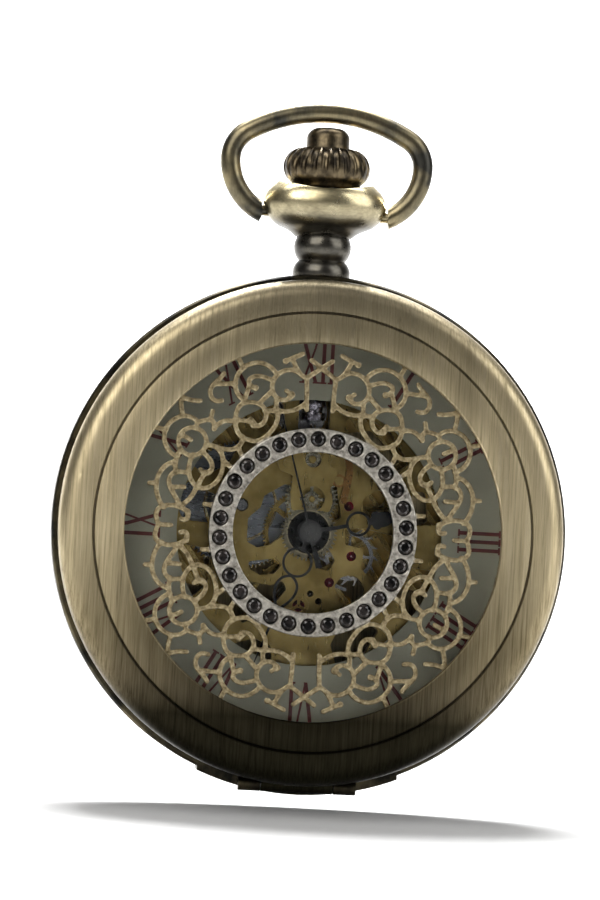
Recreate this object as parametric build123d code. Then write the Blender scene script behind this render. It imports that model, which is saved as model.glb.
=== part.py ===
from build123d import *
import math
import os

# Hunter-case pocket watch, upright, in millimetres.
# X runs to the wearer's right of the dial, Y runs from the dial to the back, Z runs up to the pendant.
# The model is laid out about the dial's centre and saved with its origin on the bow's pivot axis.

# ---- driving dimensions ---------------------------------------------------------------------------

PIVOT_Z = 29.5            # bow pivot above the dial's centre

# case
CASE_R = 23.65
CASE_IN_R = 21.4
CASE_FRONT_Y = -2.9
CASE_BACK_Y = 1.6
HINGE_BLOCK_R = 24.0
HINGE_BLOCK_HALF = 9.2
HINGE_Y = -3.05
HINGE_Z = -23.15
KNUCKLE_R = 0.65
KNUCKLE_LID_HALF = 3.3
KNUCKLE_CASE_END = 5.4
HINGE_PIN_R = 0.3
HINGE_GAP = 0.1

# lid
LID_R = 23.1
LID_IN_R = 22.5
LID_OPEN_R = 17.2
LID_FACE_Y = -6.9
LID_RIM_Y = -3.0
LID_GROOVE_R = 20.0

# grille in the lid
GRILLE_FRONT_Y = -6.1
GRILLE_BACK_Y = -5.5
GRILLE_FLANGE_R = 18.7
STROKE = 0.44
RING_FRONT_Y = -6.35
RING_OUT_R = 9.5
RING_IN_R = 7.33
STONE_COUNT = 30
STONE_PITCH_R = 8.54
STONE_R = 0.71
STONE_DEPTH = 0.52

# bezel, crystal and dial
BEZEL_R = 22.3
CRYSTAL_R = 18.0
CRYSTAL_BEVEL_R = 16.9
CRYSTAL_FRONT_Y = -4.5
CRYSTAL_BACK_Y = -3.7
BEZEL_SHOULDER_R = 17.6
DIAL_R = 19.7
DIAL_IN_R = 12.2
DIAL_FRONT_Y = -2.3
DIAL_BACK_Y = -1.9
INK = 0.04
NUMERAL_FOOT_R = 13.7
NUMERAL_HEAD_R = 17.5
NUMERAL_BAR = 0.34
NUMERAL_PITCH = 0.77

# movement plates
PLATE_R = 14.6
PLATE_FRONT_Y = -0.9
PLATE_BACK_Y = 0.7
BRIDGE_FRONT_Y = 2.5
BRIDGE_BACK_Y = 3.3
HOLDER_R = 20.2
HOLDER_IN_R = 14.65

# going train: teeth, module and place of each wheel, seen from the dial side
CENTRE_TEETH = 80
THIRD_PINION = 10
THIRD_TEETH = 75
FOURTH_PINION = 10
FOURTH_TEETH = 80
ESCAPE_PINION = 8
ESCAPE_TEETH = 15
BARREL_TEETH = 90
CENTRE_PINION = 12
CANNON_TEETH = 12
MINUTE_TEETH = 36
MINUTE_PINION = 10
HOUR_TEETH = 40
SETTING_TEETH = 20
WINDING_TEETH = 16
CONTRATE_TEETH = 26
CROWN_WHEEL_TEETH = 28
IDLER_TEETH = 25
RATCHET_TEETH = 44

THIRD_DISTANCE = 4.5
THIRD_ANGLE = 36
ESCAPE_DISTANCE = 4.54
ESCAPE_ANGLE = -25.3
BARREL_MODULE = 0.13
BARREL_ANGLE = 160
MINUTE_DISTANCE = 3.12
MINUTE_ANGLE = 88
PALLET_XZ = (2.2, -4.46)
PALLET_SPREAD = 72
BALANCE_XZ = (-0.52, -6.73)

ARBOR_R = 0.2
JEWEL_R = 0.45
BARREL_DRUM_R = 5.6
BALANCE_R = 4.3
RATCHET_MODULE = 0.17
WINDING_LINE_ANGLE = 59.6  # direction of the winding wheels from the barrel

# stem, crown and pendant
STEM_R = 0.5
SQUARE_TOP_Z = 12.6
PINION_BASE_Z = 12.9
PENDANT_BASE_Z = 23.1
PENDANT_WAIST_Z = 25.1
PENDANT_BULB_Z = 27.3
BULB_SECTIONS = [(27.3, 2.6), (28.3, 4.35), (29.4, 5.45), (30.4, 5.7), (31.4, 5.35), (32.4, 4.4)]
BULB_FLATNESS = 0.74       # depth of the bulb over its width
PENDANT_SADDLE_Z = 31.6
SADDLE_R = 14
CROWN_BASE_Z = 31.75
CROWN_WIDE_Z = 34.0
CROWN_NECK_Z = 35.5
CROWN_TOP_Z = 37.4
CROWN_R = 4.0
CROWN_CAP_R = 2.0
CROWN_FLUTES = 24

# bow
BOW_WIRE_R = 0.925
BOW_END_X = 5.85
BOW_SIDE_R = 3.03
BOW_TOP_R = 14.6
BOW_LOWER_R = 5.33
BOW_WIDE_Z = 34.2
BOW_HALF = 8.93
BOW_JOIN_ANGLE = 59.3
BOW_PIVOT_R = 0.5

# time shown by the hands, degrees clockwise from twelve
HOUR_ANGLE = 76.5
MINUTE_ANGLE_SHOWN = 200.5
SECOND_ANGLE = -16.5

# back cover
BACK_R = 23.35
BACK_Y = 6.6

SLIP = 0.05               # radial clearance of an arbor or tube in its bearing


# ---- shared shapes --------------------------------------------------------------------------------

def front(y):
    """Drawing plane facing the viewer of the dial, at depth y: local x is X, local y is Z."""
    return Plane((0, y, 0), x_dir=(1, 0, 0), z_dir=(0, -1, 0))


def slab(face, y_front, y_back):
    return extrude(front(y_back) * face, amount=y_back - y_front, dir=(0, -1, 0))


def disc(radius, y_front, y_back, hole=0, at=(0, 0)):
    face = Circle(radius)
    if hole:
        face -= Circle(hole)
    return slab(Pos(*at) * face, y_front, y_back)


def turned(profile):
    """Solid of revolution about the watch's main axis from (radius, y) points."""
    return revolve(make_face(Polyline(*profile, close=True)), axis=Axis.Y)


def polar(radius, degrees, centre=(0, 0)):
    angle = math.radians(degrees)
    return (centre[0] + radius * math.cos(angle), centre[1] + radius * math.sin(angle))


def stroke(points, width):
    """Flat line of constant width with round ends through the given points."""
    path = Line(*points) if len(points) == 2 else Spline(*points)
    face = trace(path, width)
    for end in (points[0], points[-1]):
        face += Pos(*end) * Circle(width / 2)
    return face


def rounded(points, radius):
    """Closed outline with every corner rounded."""
    face = Polygon(*points, align=None)
    return fillet(face.vertices(), radius)


def sector(r_in, r_out, start, end, corner):
    """Ring sector with rounded corners, from start to end degrees."""
    middle = (start + end) / 2
    outer = ThreePointArc(polar(r_out, start), polar(r_out, middle), polar(r_out, end))
    inner = ThreePointArc(polar(r_in, start), polar(r_in, middle), polar(r_in, end))
    first = Line(polar(r_in, start), polar(r_out, start))
    last = Line(polar(r_in, end), polar(r_out, end))
    face = make_face([outer, inner, first, last])
    return fillet(face.vertices(), corner) if corner else face


def gear_face(teeth, module, phase=0.0):
    """Toothed disc; phase is the direction, in degrees, of one tooth's centre."""
    pitch_r = teeth * module / 2
    step = 360 / teeth
    flank = [
        (pitch_r - 1.2 * module, -0.30),
        (pitch_r + 0.9 * module, -0.13),
        (pitch_r + 0.9 * module, 0.13),
        (pitch_r - 1.2 * module, 0.30),
    ]
    points = []
    for tooth in range(teeth):
        for radius, share in flank:
            points.append(polar(radius, phase + (tooth + share) * step))
    return Polygon(*points, align=None)


def mesh_phase(direction, phase, teeth, next_teeth):
    """Tooth phase of a gear that meshes with the one before it, which lies back along direction."""
    return direction + 180 - (phase - direction) * teeth / next_teeth + 180 / next_teeth


def spoked(teeth, module, phase, rim, hub_r, spokes, spoke_width):
    """Wheel face with a toothed rim, a hub and straight spokes."""
    inner_r = teeth * module / 2 - 1.2 * module - rim
    face = gear_face(teeth, module, phase) - Circle(inner_r) + Circle(hub_r)
    for spoke in range(spokes):
        bar = Pos(inner_r / 2, 0) * Rectangle(inner_r + rim, spoke_width)
        face += Rot(0, 0, spoke * 360 / spokes) * bar
    return face


def screw(at, y_head, y_under, y_tip, head_r=0.75, shank_r=0.35):
    """Slotted cheese-head screw; the head's outer face is at y_head."""
    side = 1 if y_head > y_under else -1
    head = disc(head_r, min(y_head, y_under), max(y_head, y_under), at=at)
    shank = disc(shank_r, min(y_tip, y_under), max(y_tip, y_under), at=at)
    slot = Pos(at[0], y_head, at[1]) * Box(head_r * 2.4, 0.24, 0.2)
    return head + shank - Pos(0, -side * 0.02, 0) * slot


def save(node, shape):
    export_step(Pos(0, 0, -PIVOT_Z) * shape, f"parts/{node}.step")


def group(shapes):
    """Several separate solids kept as one node."""
    return Compound([solid for shape in shapes for solid in shape.solids()])


# ---- places of the moving wheels ------------------------------------------------------------------

CENTRE_MODULE = 2 * THIRD_DISTANCE / (CENTRE_TEETH + THIRD_PINION)
THIRD_MODULE = 2 * THIRD_DISTANCE / (THIRD_TEETH + FOURTH_PINION)
FOURTH_MODULE = 2 * ESCAPE_DISTANCE / (FOURTH_TEETH + ESCAPE_PINION)
MOTION_MODULE = 2 * MINUTE_DISTANCE / (CANNON_TEETH + MINUTE_TEETH)
HOUR_MODULE = 2 * MINUTE_DISTANCE / (MINUTE_PINION + HOUR_TEETH)
BARREL_DISTANCE = BARREL_MODULE * (BARREL_TEETH + CENTRE_PINION) / 2
SETTING_DISTANCE = MOTION_MODULE * (MINUTE_TEETH + SETTING_TEETH) / 2
IDLER_DISTANCE = RATCHET_MODULE * (RATCHET_TEETH + IDLER_TEETH) / 2
CROWN_WHEEL_DISTANCE = IDLER_DISTANCE + RATCHET_MODULE * (IDLER_TEETH + CROWN_WHEEL_TEETH) / 2

THIRD_XZ = polar(THIRD_DISTANCE, THIRD_ANGLE)
ESCAPE_XZ = polar(ESCAPE_DISTANCE, ESCAPE_ANGLE)
BARREL_XZ = polar(BARREL_DISTANCE, BARREL_ANGLE)
MINUTE_XZ = polar(MINUTE_DISTANCE, MINUTE_ANGLE)
SETTING_XZ = (0.02, MINUTE_XZ[1] + SETTING_DISTANCE)
IDLER_XZ = polar(IDLER_DISTANCE, WINDING_LINE_ANGLE, BARREL_XZ)
CROWN_WHEEL_XZ = polar(CROWN_WHEEL_DISTANCE, WINDING_LINE_ANGLE, BARREL_XZ)

# depth ranges (front, back) of the thin wheels
CENTRE_WHEEL_Y = (0.80, 0.95)
CENTRE_PINION_Y = (0.95, 1.45)
THIRD_PINION_Y = (0.75, 1.05)
THIRD_WHEEL_Y = (1.60, 1.75)
FOURTH_PINION_Y = (1.55, 1.95)
FOURTH_WHEEL_Y = (2.10, 2.25)
ESCAPE_PINION_Y = (2.00, 2.35)
ESCAPE_WHEEL_Y = (1.20, 1.35)
BARREL_TEETH_Y = (1.10, 1.40)
BARREL_BACK_Y = 1.95
MINUTE_WHEEL_Y = (-1.30, -1.10)
MINUTE_PINION_Y = (-1.80, -1.40)
HOUR_WHEEL_Y = (-1.75, -1.50)
COVER_Y = (-2.15, -1.95)
BALANCE_Y = (2.40, 2.80)
WINDING_Y = (BRIDGE_BACK_Y + 0.05, BRIDGE_BACK_Y + 0.35)


# ---- case -----------------------------------------------------------------------------------------

def hinge_rod(radius, x_from, x_to):
    length = x_to - x_from
    return Pos((x_from + x_to) / 2, HINGE_Y, HINGE_Z) * (Rot(0, 90, 0) * Cylinder(radius, length))


def case_middle():
    band = turned([
        (CASE_IN_R, CASE_FRONT_Y),
        (CASE_R - 0.2, CASE_FRONT_Y),
        (CASE_R, CASE_FRONT_Y + 0.25),
        (CASE_R, CASE_BACK_Y - 0.5),
        (CASE_R - 0.3, CASE_BACK_Y),
        (CASE_IN_R, CASE_BACK_Y),
    ])
    block = disc(HINGE_BLOCK_R, CASE_FRONT_Y, -0.4, hole=CASE_IN_R + 1)
    block &= Pos(0, 0, -CASE_R) * Box(2 * HINGE_BLOCK_HALF, 10, 6)
    knuckle = hinge_rod(KNUCKLE_R, KNUCKLE_LID_HALF + HINGE_GAP, KNUCKLE_CASE_END)
    body = band + block + knuckle + mirror(knuckle, about=Plane.YZ)
    body -= hinge_rod(KNUCKLE_R + HINGE_GAP, -KNUCKLE_LID_HALF - HINGE_GAP, KNUCKLE_LID_HALF + HINGE_GAP)
    body -= hinge_rod(HINGE_PIN_R, -KNUCKLE_CASE_END, KNUCKLE_CASE_END)
    body -= Pos(0, 0, CASE_R - 1) * Cylinder(STEM_R + SLIP, 6)
    return body


def bezel():
    ring = turned([
        (BEZEL_SHOULDER_R, DIAL_FRONT_Y),
        (BEZEL_SHOULDER_R, CRYSTAL_BACK_Y),
        (CRYSTAL_R, CRYSTAL_BACK_Y),
        (CRYSTAL_R, CRYSTAL_FRONT_Y + 0.2),
        (CRYSTAL_R + 0.3, CRYSTAL_FRONT_Y - 0.1),
        (BEZEL_R - 1.2, CRYSTAL_FRONT_Y + 0.1),
        (BEZEL_R, CASE_FRONT_Y - 0.5),
        (BEZEL_R, CASE_FRONT_Y),
        (CASE_IN_R - 0.2, CASE_FRONT_Y),
        (CASE_IN_R - 0.2, DIAL_FRONT_Y),
    ])
    return ring - Pos(0, -2.9, 21.65) * Box(3.6, 1.6, 3.9)


def crystal():
    return turned([
        (0, CRYSTAL_FRONT_Y - 0.1),
        (CRYSTAL_BEVEL_R, CRYSTAL_FRONT_Y),
        (CRYSTAL_R, CRYSTAL_FRONT_Y + 0.25),
        (CRYSTAL_R, CRYSTAL_BACK_Y),
        (0, CRYSTAL_BACK_Y),
    ])


def back_cover():
    """Snap-on back: a shallow dome with a raised ring groove, a snap lip and a thumb lip."""
    wall = 0.8
    dome = turned([
        (CASE_IN_R, CASE_BACK_Y - 1.0),
        (CASE_IN_R, CASE_BACK_Y),
        (BACK_R, CASE_BACK_Y),
        (BACK_R, CASE_BACK_Y + 0.8),
        (BACK_R - 0.5, BACK_Y - 2.4),
        (BACK_R - 1.5, BACK_Y - 1.3),
        (BACK_R - 3.0, BACK_Y - 0.65),
        (LID_GROOVE_R - 0.2, BACK_Y - 0.55),
        (LID_GROOVE_R - 0.3, BACK_Y - 0.7),
        (LID_GROOVE_R - 0.45, BACK_Y - 0.7),
        (LID_GROOVE_R - 0.55, BACK_Y - 0.5),
        (16.0, BACK_Y - 0.2),
        (8.0, BACK_Y),
        (0, BACK_Y),
        (0, BACK_Y - wall),
        (8.0, BACK_Y - wall),
        (16.0, BACK_Y - wall - 0.2),
        (20.3, BACK_Y - wall - 0.9),
        (20.8, BACK_Y - 3.2),
        (CASE_IN_R - 0.6, CASE_BACK_Y - 1.0),
    ])
    lip = disc(BACK_R + 0.3, CASE_BACK_Y + 0.05, CASE_BACK_Y + 0.55, hole=BACK_R - 0.4)
    lip &= Rot(0, 35, 0) * (Pos(0, 2, -BACK_R) * Box(5, 8, 4))
    return dome + lip


# ---- lid ------------------------------------------------------------------------------------------

def lid_shell():
    outer = Polyline(
        (LID_OPEN_R, GRILLE_FRONT_Y),
        (LID_OPEN_R, LID_FACE_Y + 0.14),
        (LID_OPEN_R + 0.14, LID_FACE_Y),
        (LID_GROOVE_R - 0.14, LID_FACE_Y + 0.08),
        (LID_GROOVE_R - 0.06, LID_FACE_Y + 0.24),
        (LID_GROOVE_R + 0.06, LID_FACE_Y + 0.24),
        (LID_GROOVE_R + 0.14, LID_FACE_Y + 0.10),
        (LID_R - 1.5, LID_FACE_Y + 0.26),
    )
    shoulder = TangentArc((LID_R - 1.5, LID_FACE_Y + 0.26), (LID_R, LID_FACE_Y + 1.9), tangent=(1, 0.1))
    inner = Polyline(
        (LID_R, LID_FACE_Y + 1.9),
        (LID_R, LID_RIM_Y - 0.15),
        (LID_R - 0.15, LID_RIM_Y),
        (LID_IN_R, LID_RIM_Y),
        (LID_IN_R, LID_FACE_Y + 2.0),
        (LID_R - 1.6, LID_FACE_Y + 1.0),
        (GRILLE_FLANGE_R, GRILLE_FRONT_Y),
        (LID_OPEN_R, GRILLE_FRONT_Y),
    )
    shell = revolve(make_face([outer, shoulder, inner]), axis=Axis.Y)
    shell += hinge_rod(KNUCKLE_R, -KNUCKLE_LID_HALF, KNUCKLE_LID_HALF)
    shell -= hinge_rod(HINGE_PIN_R + SLIP, -KNUCKLE_LID_HALF, KNUCKLE_LID_HALF)
    groove = hinge_rod(KNUCKLE_R + HINGE_GAP, KNUCKLE_LID_HALF, KNUCKLE_CASE_END + HINGE_GAP)
    return shell - groove - mirror(groove, about=Plane.YZ)


# Filigree of one quadrant, right of twelve: each line runs through its own few points.
FILIGREE_LINES = [
    [(-0.95, 15.66), (1.33, 14.02)],
    [(1.33, 14.02), (1.25, 12.67), (1.19, 11.13)],
    [(1.33, 14.02), (1.79, 14.23), (2.18, 14.66), (2.72, 15.70)],
    [(1.80, 16.20), (2.72, 15.75), (3.37, 15.44)],
    [(2.05, 14.43), (3.54, 14.50), (4.29, 13.77), (4.44, 13.0), (4.1, 12.2), (3.51, 11.91), (2.60, 12.39)],
    [(1.28, 11.73), (1.84, 11.29), (2.73, 10.92), (3.97, 10.99)],
    [(3.98, 11.95), (3.97, 10.9)],
    [(4.40, 12.68), (5.52, 11.5)],
    [(3.95, 10.9), (4.98, 10.81)],
    [(4.10, 14.20), (4.87, 14.93), (5.92, 15.16), (7.34, 14.4), (7.80, 13.37), (7.67, 12.47), (6.95, 11.7)],
    [(4.35, 13.60), (5.22, 13.88), (6.11, 13.88), (6.60, 13.43), (6.40, 13.05), (5.99, 12.86)],
    [(6.50, 13.1), (6.87, 11.75)],
    [(7.25, 14.75), (7.85, 15.90)],
    [(7.75, 13.14), (9.59, 12.99)],
    [(8.91, 14.01), (9.58, 13.17), (10.03, 12.48), (9.90, 11.78), (8.96, 11.53)],
    [(10.90, 11.40), (12.75, 11.77), (13.10, 12.0)],
    [(12.66, 11.75), (12.62, 10.9), (12.38, 9.95)],
    [(6.0, 9.49), (5.35, 9.48), (4.90, 10.04), (5.1, 11.1), (6.18, 11.53), (7.2, 11.25), (7.62, 10.12),
     (7.35, 8.75), (6.32, 8.11)],
    [(3.90, 10.95), (3.85, 9.87), (4.31, 9.01), (5.25, 8.15), (6.32, 8.11)],
    [(6.0, 9.75), (7.61, 9.89)],
    [(7.55, 9.60), (8.47, 9.72), (9.52, 8.93)],
    [(9.52, 8.93), (9.88, 9.71), (10.5, 9.62), (11.04, 9.47)],
    [(9.88, 9.71), (9.73, 10.53)],
    [(6.90, 8.40), (7.12, 7.56), (7.55, 7.22), (8.61, 7.17), (10.20, 7.43)],
    [(7.25, 7.45), (6.85, 6.60)],
    [(12.55, 8.15), (12.05, 8.05), (11.60, 7.80)],
    [(11.04, 9.47), (11.90, 9.93), (13.40, 9.42), (14.0, 7.99), (13.76, 7.09), (12.66, 6.22)],
    [(11.07, 9.5), (11.15, 8.85)],
    [(13.85, 8.60), (15.35, 8.85)],
    [(12.45, 6.85), (12.82, 5.87), (12.75, 4.75)],
    [(11.30, 6.50), (11.60, 5.50), (11.45, 4.40), (10.77, 3.58)],
    [(11.55, 4.80), (12.80, 4.92)],
    [(9.15, 7.20), (8.61, 6.46), (8.58, 5.20), (9.15, 4.01), (9.95, 3.52), (10.77, 3.58)],
    [(10.50, 6.75), (9.74, 6.11), (9.50, 5.39), (9.72, 4.95), (10.56, 5.15)],
    [(10.14, 4.95), (10.76, 3.60)],
    [(7.55, 5.35), (8.60, 6.15)],
    [(12.80, 5.75), (13.61, 5.44), (14.35, 4.4), (14.41, 2.94), (13.70, 1.55)],
    [(14.45, 3.71), (15.10, 3.71)],
    [(12.80, 4.86), (13.36, 4.0), (12.83, 2.79), (12.25, 1.70)],
    [(13.20, 3.45), (11.95, 3.50)],
    [(10.80, 3.65), (11.31, 2.60), (12.20, 1.75)],
    [(11.44, 1.29), (12.18, 1.64), (13.78, 1.67), (14.27, 1.28), (14.31, 0.58), (14.04, -0.05)],
    [(12.95, 0.0), (14.1, 0.0)],
    [(11.45, 1.35), (11.66, 0.55), (12.05, 0.62)],
    [(9.20, 2.02), (10.00, 2.06)],
]
# thickened scroll ends and joints: place and radius
FILIGREE_KNOTS = [
    ((3.32, 15.46), 0.30), ((2.66, 12.42), 0.36), ((5.95, 12.86), 0.30), ((5.92, 9.50), 0.34),
    ((3.10, 12.75), 0.22), ((6.20, 10.0), 0.24), ((9.72, 5.0), 0.28), ((9.52, 8.93), 0.26),
    ((11.50, 1.10), 0.26), ((11.60, 7.82), 0.24), ((12.70, 11.72), 0.28), ((9.62, 13.1), 0.24),
    ((9.35, 2.04), 0.26),
]
FULL_SCROLL_XZ = (11.42, 7.67)
FULL_SCROLL_R = 1.27


def quadrant_face():
    face = Pos(*FULL_SCROLL_XZ) * (Circle(FULL_SCROLL_R + STROKE / 2) - Circle(FULL_SCROLL_R - STROKE / 2))
    for points in FILIGREE_LINES:
        face += stroke(points, STROKE)
    for place, radius in FILIGREE_KNOTS:
        face += Pos(*place) * Circle(radius)
    return face


def stone_places():
    step = 360 / STONE_COUNT
    return [polar(STONE_PITCH_R, (i + 0.5) * step) for i in range(STONE_COUNT)]


def lid_grille():
    quadrant = slab(quadrant_face(), GRILLE_FRONT_Y, GRILLE_BACK_Y)
    half = quadrant + mirror(quadrant, about=Plane.YZ)
    net = half + mirror(half, about=Plane.XY)
    net += disc(GRILLE_FLANGE_R, GRILLE_FRONT_Y, GRILLE_BACK_Y, hole=LID_OPEN_R + 0.1)
    net -= disc(RING_IN_R, GRILLE_FRONT_Y, GRILLE_BACK_Y)
    net += disc(RING_OUT_R, RING_FRONT_Y, GRILLE_BACK_Y, hole=RING_IN_R)
    seats = Sketch() + [Pos(*place) * Circle(STONE_R) for place in stone_places()]
    return net - slab(seats, RING_FRONT_Y, RING_FRONT_Y + STONE_DEPTH + 0.03)


def lid_stones():
    """Round brilliants: table, crown slope, girdle and pavilion."""
    y = RING_FRONT_Y
    profile = Polyline(
        (0, y + 0.01),
        (STONE_R * 0.52, y + 0.01),
        (STONE_R, y + 0.16),
        (STONE_R, y + 0.20),
        (0, y + STONE_DEPTH),
        close=True,
    )
    stone = revolve(make_face(profile), axis=Axis.Y)
    return group([Pos(x, 0, z) * stone for x, z in stone_places()])


def lid_catch():
    """Sliding nose that the crown presses down, away from the lid's rim."""
    plate = Pos(0, -1.475, 20.85) * Box(3.2, 3.95, 0.5)
    nose = Pos(0, -3.22, 21.75) * Box(2.4, 0.46, 1.3)
    return plate + nose - Pos(0, 0, 20.85) * Cylinder(STEM_R + SLIP, 2)


def case_springs():
    """Curved flat springs in the band: the catch's spring above and the lid's lift spring below."""
    catch = slab(sector(20.55, 20.95, 98, 172, 0.1), -1.6, -0.4)
    lift = slab(sector(20.55, 20.95, 200, 292, 0.1), -1.6, -0.4)
    screws = [screw(polar(20.75, angle), -2.0, -1.6, -0.4, 0.28, 0.18) for angle in (168, 204)]
    holes = [disc(0.18, -1.6, -0.4, at=polar(20.75, angle)) for angle in (168, 204)]
    return catch - holes[0], lift - holes[1], group(screws)


# ---- pendant, crown and bow -----------------------------------------------------------------------

def pendant():
    """Two turned beads under an oval bulb with a saddle top, bored for the stem and the bow's ends."""
    neck = Polyline(
        (0, PENDANT_BASE_Z - 0.9),
        (2.5, PENDANT_BASE_Z - 0.9),
        (2.5, PENDANT_BASE_Z + 0.15),
    )
    base = (2.5, PENDANT_BASE_Z + 0.15)
    waist = (2.15, PENDANT_WAIST_Z)
    bead_low = ThreePointArc(base, (2.68, PENDANT_BASE_Z + 0.95), waist)
    bead_top = ThreePointArc(waist, (2.65, PENDANT_WAIST_Z + 1.15), (2.2, PENDANT_BULB_Z + 0.3))
    core = Polyline((2.2, PENDANT_BULB_Z + 0.3), (0, PENDANT_BULB_Z + 0.3), (0, PENDANT_BASE_Z - 0.9))
    beads = revolve(Plane.XZ * make_face([neck, bead_low, bead_top, core]), axis=Axis.Z)
    bulb = loft([Pos(0, 0, z) * Ellipse(half, half * BULB_FLATNESS) for z, half in BULB_SECTIONS])
    body = bulb - Pos(0, 0, PENDANT_SADDLE_Z + SADDLE_R) * (Rot(90, 0, 0) * Cylinder(SADDLE_R, 20))
    body += beads
    body -= Pos(0, 0, CROWN_BASE_Z + 4.85) * Cylinder(CROWN_R - 0.65, 12)
    body -= Pos(0, 0, 30) * Cylinder(STEM_R + SLIP, 20)
    for side in (-1, 1):
        socket = Rot(0, 90, 0) * Cylinder(BOW_PIVOT_R + SLIP, 2)
        body -= Pos(side * (BOW_END_X - 0.1), 0, PIVOT_Z) * socket
    return body - slab(Circle(CASE_R), -10, 10)


def crown():
    skirt = Polyline((0, CROWN_BASE_Z), (3.0, CROWN_BASE_Z), (3.2, CROWN_BASE_Z + 0.5))
    belly = ThreePointArc((3.2, CROWN_BASE_Z + 0.5), (CROWN_R, CROWN_WIDE_Z), (2.0, CROWN_NECK_Z))
    cap_side = Line((2.0, CROWN_NECK_Z), (CROWN_CAP_R, CROWN_TOP_Z - 0.9))
    cap_top = ThreePointArc((CROWN_CAP_R, CROWN_TOP_Z - 0.9), (1.75, CROWN_TOP_Z - 0.35), (1.2, CROWN_TOP_Z))
    inside = Polyline((1.2, CROWN_TOP_Z), (0, CROWN_TOP_Z), (0, CROWN_BASE_Z))
    body = revolve(Plane.XZ * make_face([skirt, belly, cap_side, cap_top, inside]), axis=Axis.Z)
    path = (Plane.XZ * ThreePointArc((3.62, 32.0), (4.14, 33.9), (2.45, 35.55))).edge()
    flute = sweep(Plane(path @ 0, z_dir=path % 0) * Circle(0.36), path=path)
    for i in range(CROWN_FLUTES):
        body -= Rot(0, 0, (i + 0.5) * 360 / CROWN_FLUTES) * flute
    return body - Pos(0, 0, CROWN_BASE_Z) * Cylinder(STEM_R, 3)


def winding_stem():
    top_z = CROWN_BASE_Z + 1.5
    shaft = Pos(0, 0, (top_z + SQUARE_TOP_Z) / 2) * Cylinder(STEM_R, top_z - SQUARE_TOP_Z)
    square = Pos(0, 0, SQUARE_TOP_Z - 1.3) * Box(0.6, 0.6, 2.6)
    pilot = Pos(0, 0, SQUARE_TOP_Z - 3.0) * Cylinder(0.25, 0.8)
    groove = Pos(0, 0, 17.3) * (Cylinder(STEM_R, 0.5) - Cylinder(0.32, 0.5))
    return shaft + square + pilot - groove


def bow():
    """Oval wire loop of tangent arcs, its ends cut flat beside the pendant and turned down to pivots."""
    def side_point(degrees):
        return polar(BOW_SIDE_R, degrees, (BOW_HALF - BOW_SIDE_R, BOW_WIDE_Z))

    def lower_point(degrees):
        return polar(BOW_LOWER_R, degrees, (BOW_HALF - BOW_LOWER_R, BOW_WIDE_Z))

    def left(point):
        return (-point[0], point[1])

    join = side_point(BOW_JOIN_ANGLE)
    rise = BOW_TOP_R * (1 - math.sin(math.radians(BOW_JOIN_ANGLE)))
    right_arcs = [
        (lower_point(-67), lower_point(-33), lower_point(0)),
        (side_point(0), side_point(BOW_JOIN_ANGLE / 2), join),
    ]
    route = right_arcs + [(join, (0, join[1] + rise), left(join))]
    route += [(left(c), left(b), left(a)) for a, b, c in reversed(right_arcs)]
    path = Wire([(Plane.XZ * ThreePointArc(*arc)).edge() for arc in route])
    body = sweep(Plane(path @ 0, z_dir=path % 0) * Circle(BOW_WIRE_R), path=path)
    body -= Pos(0, 0, PIVOT_Z) * Box(2 * BOW_END_X, 6, 4)
    for side in (-1, 1):
        body += Pos(side * (BOW_END_X - 0.2), 0, PIVOT_Z) * (Rot(0, 90, 0) * Cylinder(BOW_PIVOT_R, 1.6))
    return body


# ---- dial and hands -------------------------------------------------------------------------------

def dial_ring():
    return disc(DIAL_R, DIAL_FRONT_Y, DIAL_BACK_Y, hole=DIAL_IN_R)


def glyph(letter):
    """One Roman letter centred on x = 0, its foot at y = 0; returns the face and its width."""
    height = NUMERAL_HEAD_R - NUMERAL_FOOT_R
    serif = 0.16

    def bar(x_foot, x_head, width):
        half = width / 2
        corners = [(x_foot - half, 0), (x_foot + half, 0), (x_head + half, height), (x_head - half, height)]
        return Polygon(*corners, align=None)

    def serif_at(x, y, length):
        return Pos(x, y) * Rectangle(length, serif)

    foot, head = serif / 2, height - serif / 2
    if letter == "I":
        return bar(0, 0, NUMERAL_BAR) + serif_at(0, foot, 0.66) + serif_at(0, head, 0.66), NUMERAL_PITCH
    spread = 0.62
    if letter == "V":
        face = bar(0, -spread, NUMERAL_BAR) + bar(0, spread, NUMERAL_BAR * 0.55)
        return face + serif_at(-spread, head, 0.66) + serif_at(spread, head, 0.6), 1.75
    face = bar(spread, -spread, NUMERAL_BAR) + bar(-spread, spread, NUMERAL_BAR * 0.55)
    for x in (-spread, spread):
        face += serif_at(x, foot, 0.6) + serif_at(x, head, 0.6)
    return face, 1.75


def dial_numerals():
    """Printed numerals, each reading outwards from the dial's centre."""
    words = ["XII", "I", "II", "III", "IIII", "V", "VI", "VII", "VIII", "IX", "X", "XI"]
    prints = []
    for hour, word in enumerate(words):
        letters = [glyph(letter) for letter in word]
        cursor = -sum(width for _, width in letters) / 2
        for face, width in letters:
            placed = Pos(cursor + width / 2, NUMERAL_FOOT_R) * face
            prints.append(Rot(0, 0, -30 * hour) * placed)
            cursor += width
    inked = Sketch() + prints
    return slab(inked, DIAL_FRONT_Y - INK, DIAL_FRONT_Y)


def hand(face, y_front, y_back, clock_angle, bore):
    face = face - Circle(bore)
    return slab(Rot(0, 0, -clock_angle) * face, y_front, y_back)


def loop_link(z, radius, width):
    return Pos(0, z) * (Circle(radius) - Circle(radius - width))


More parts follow.
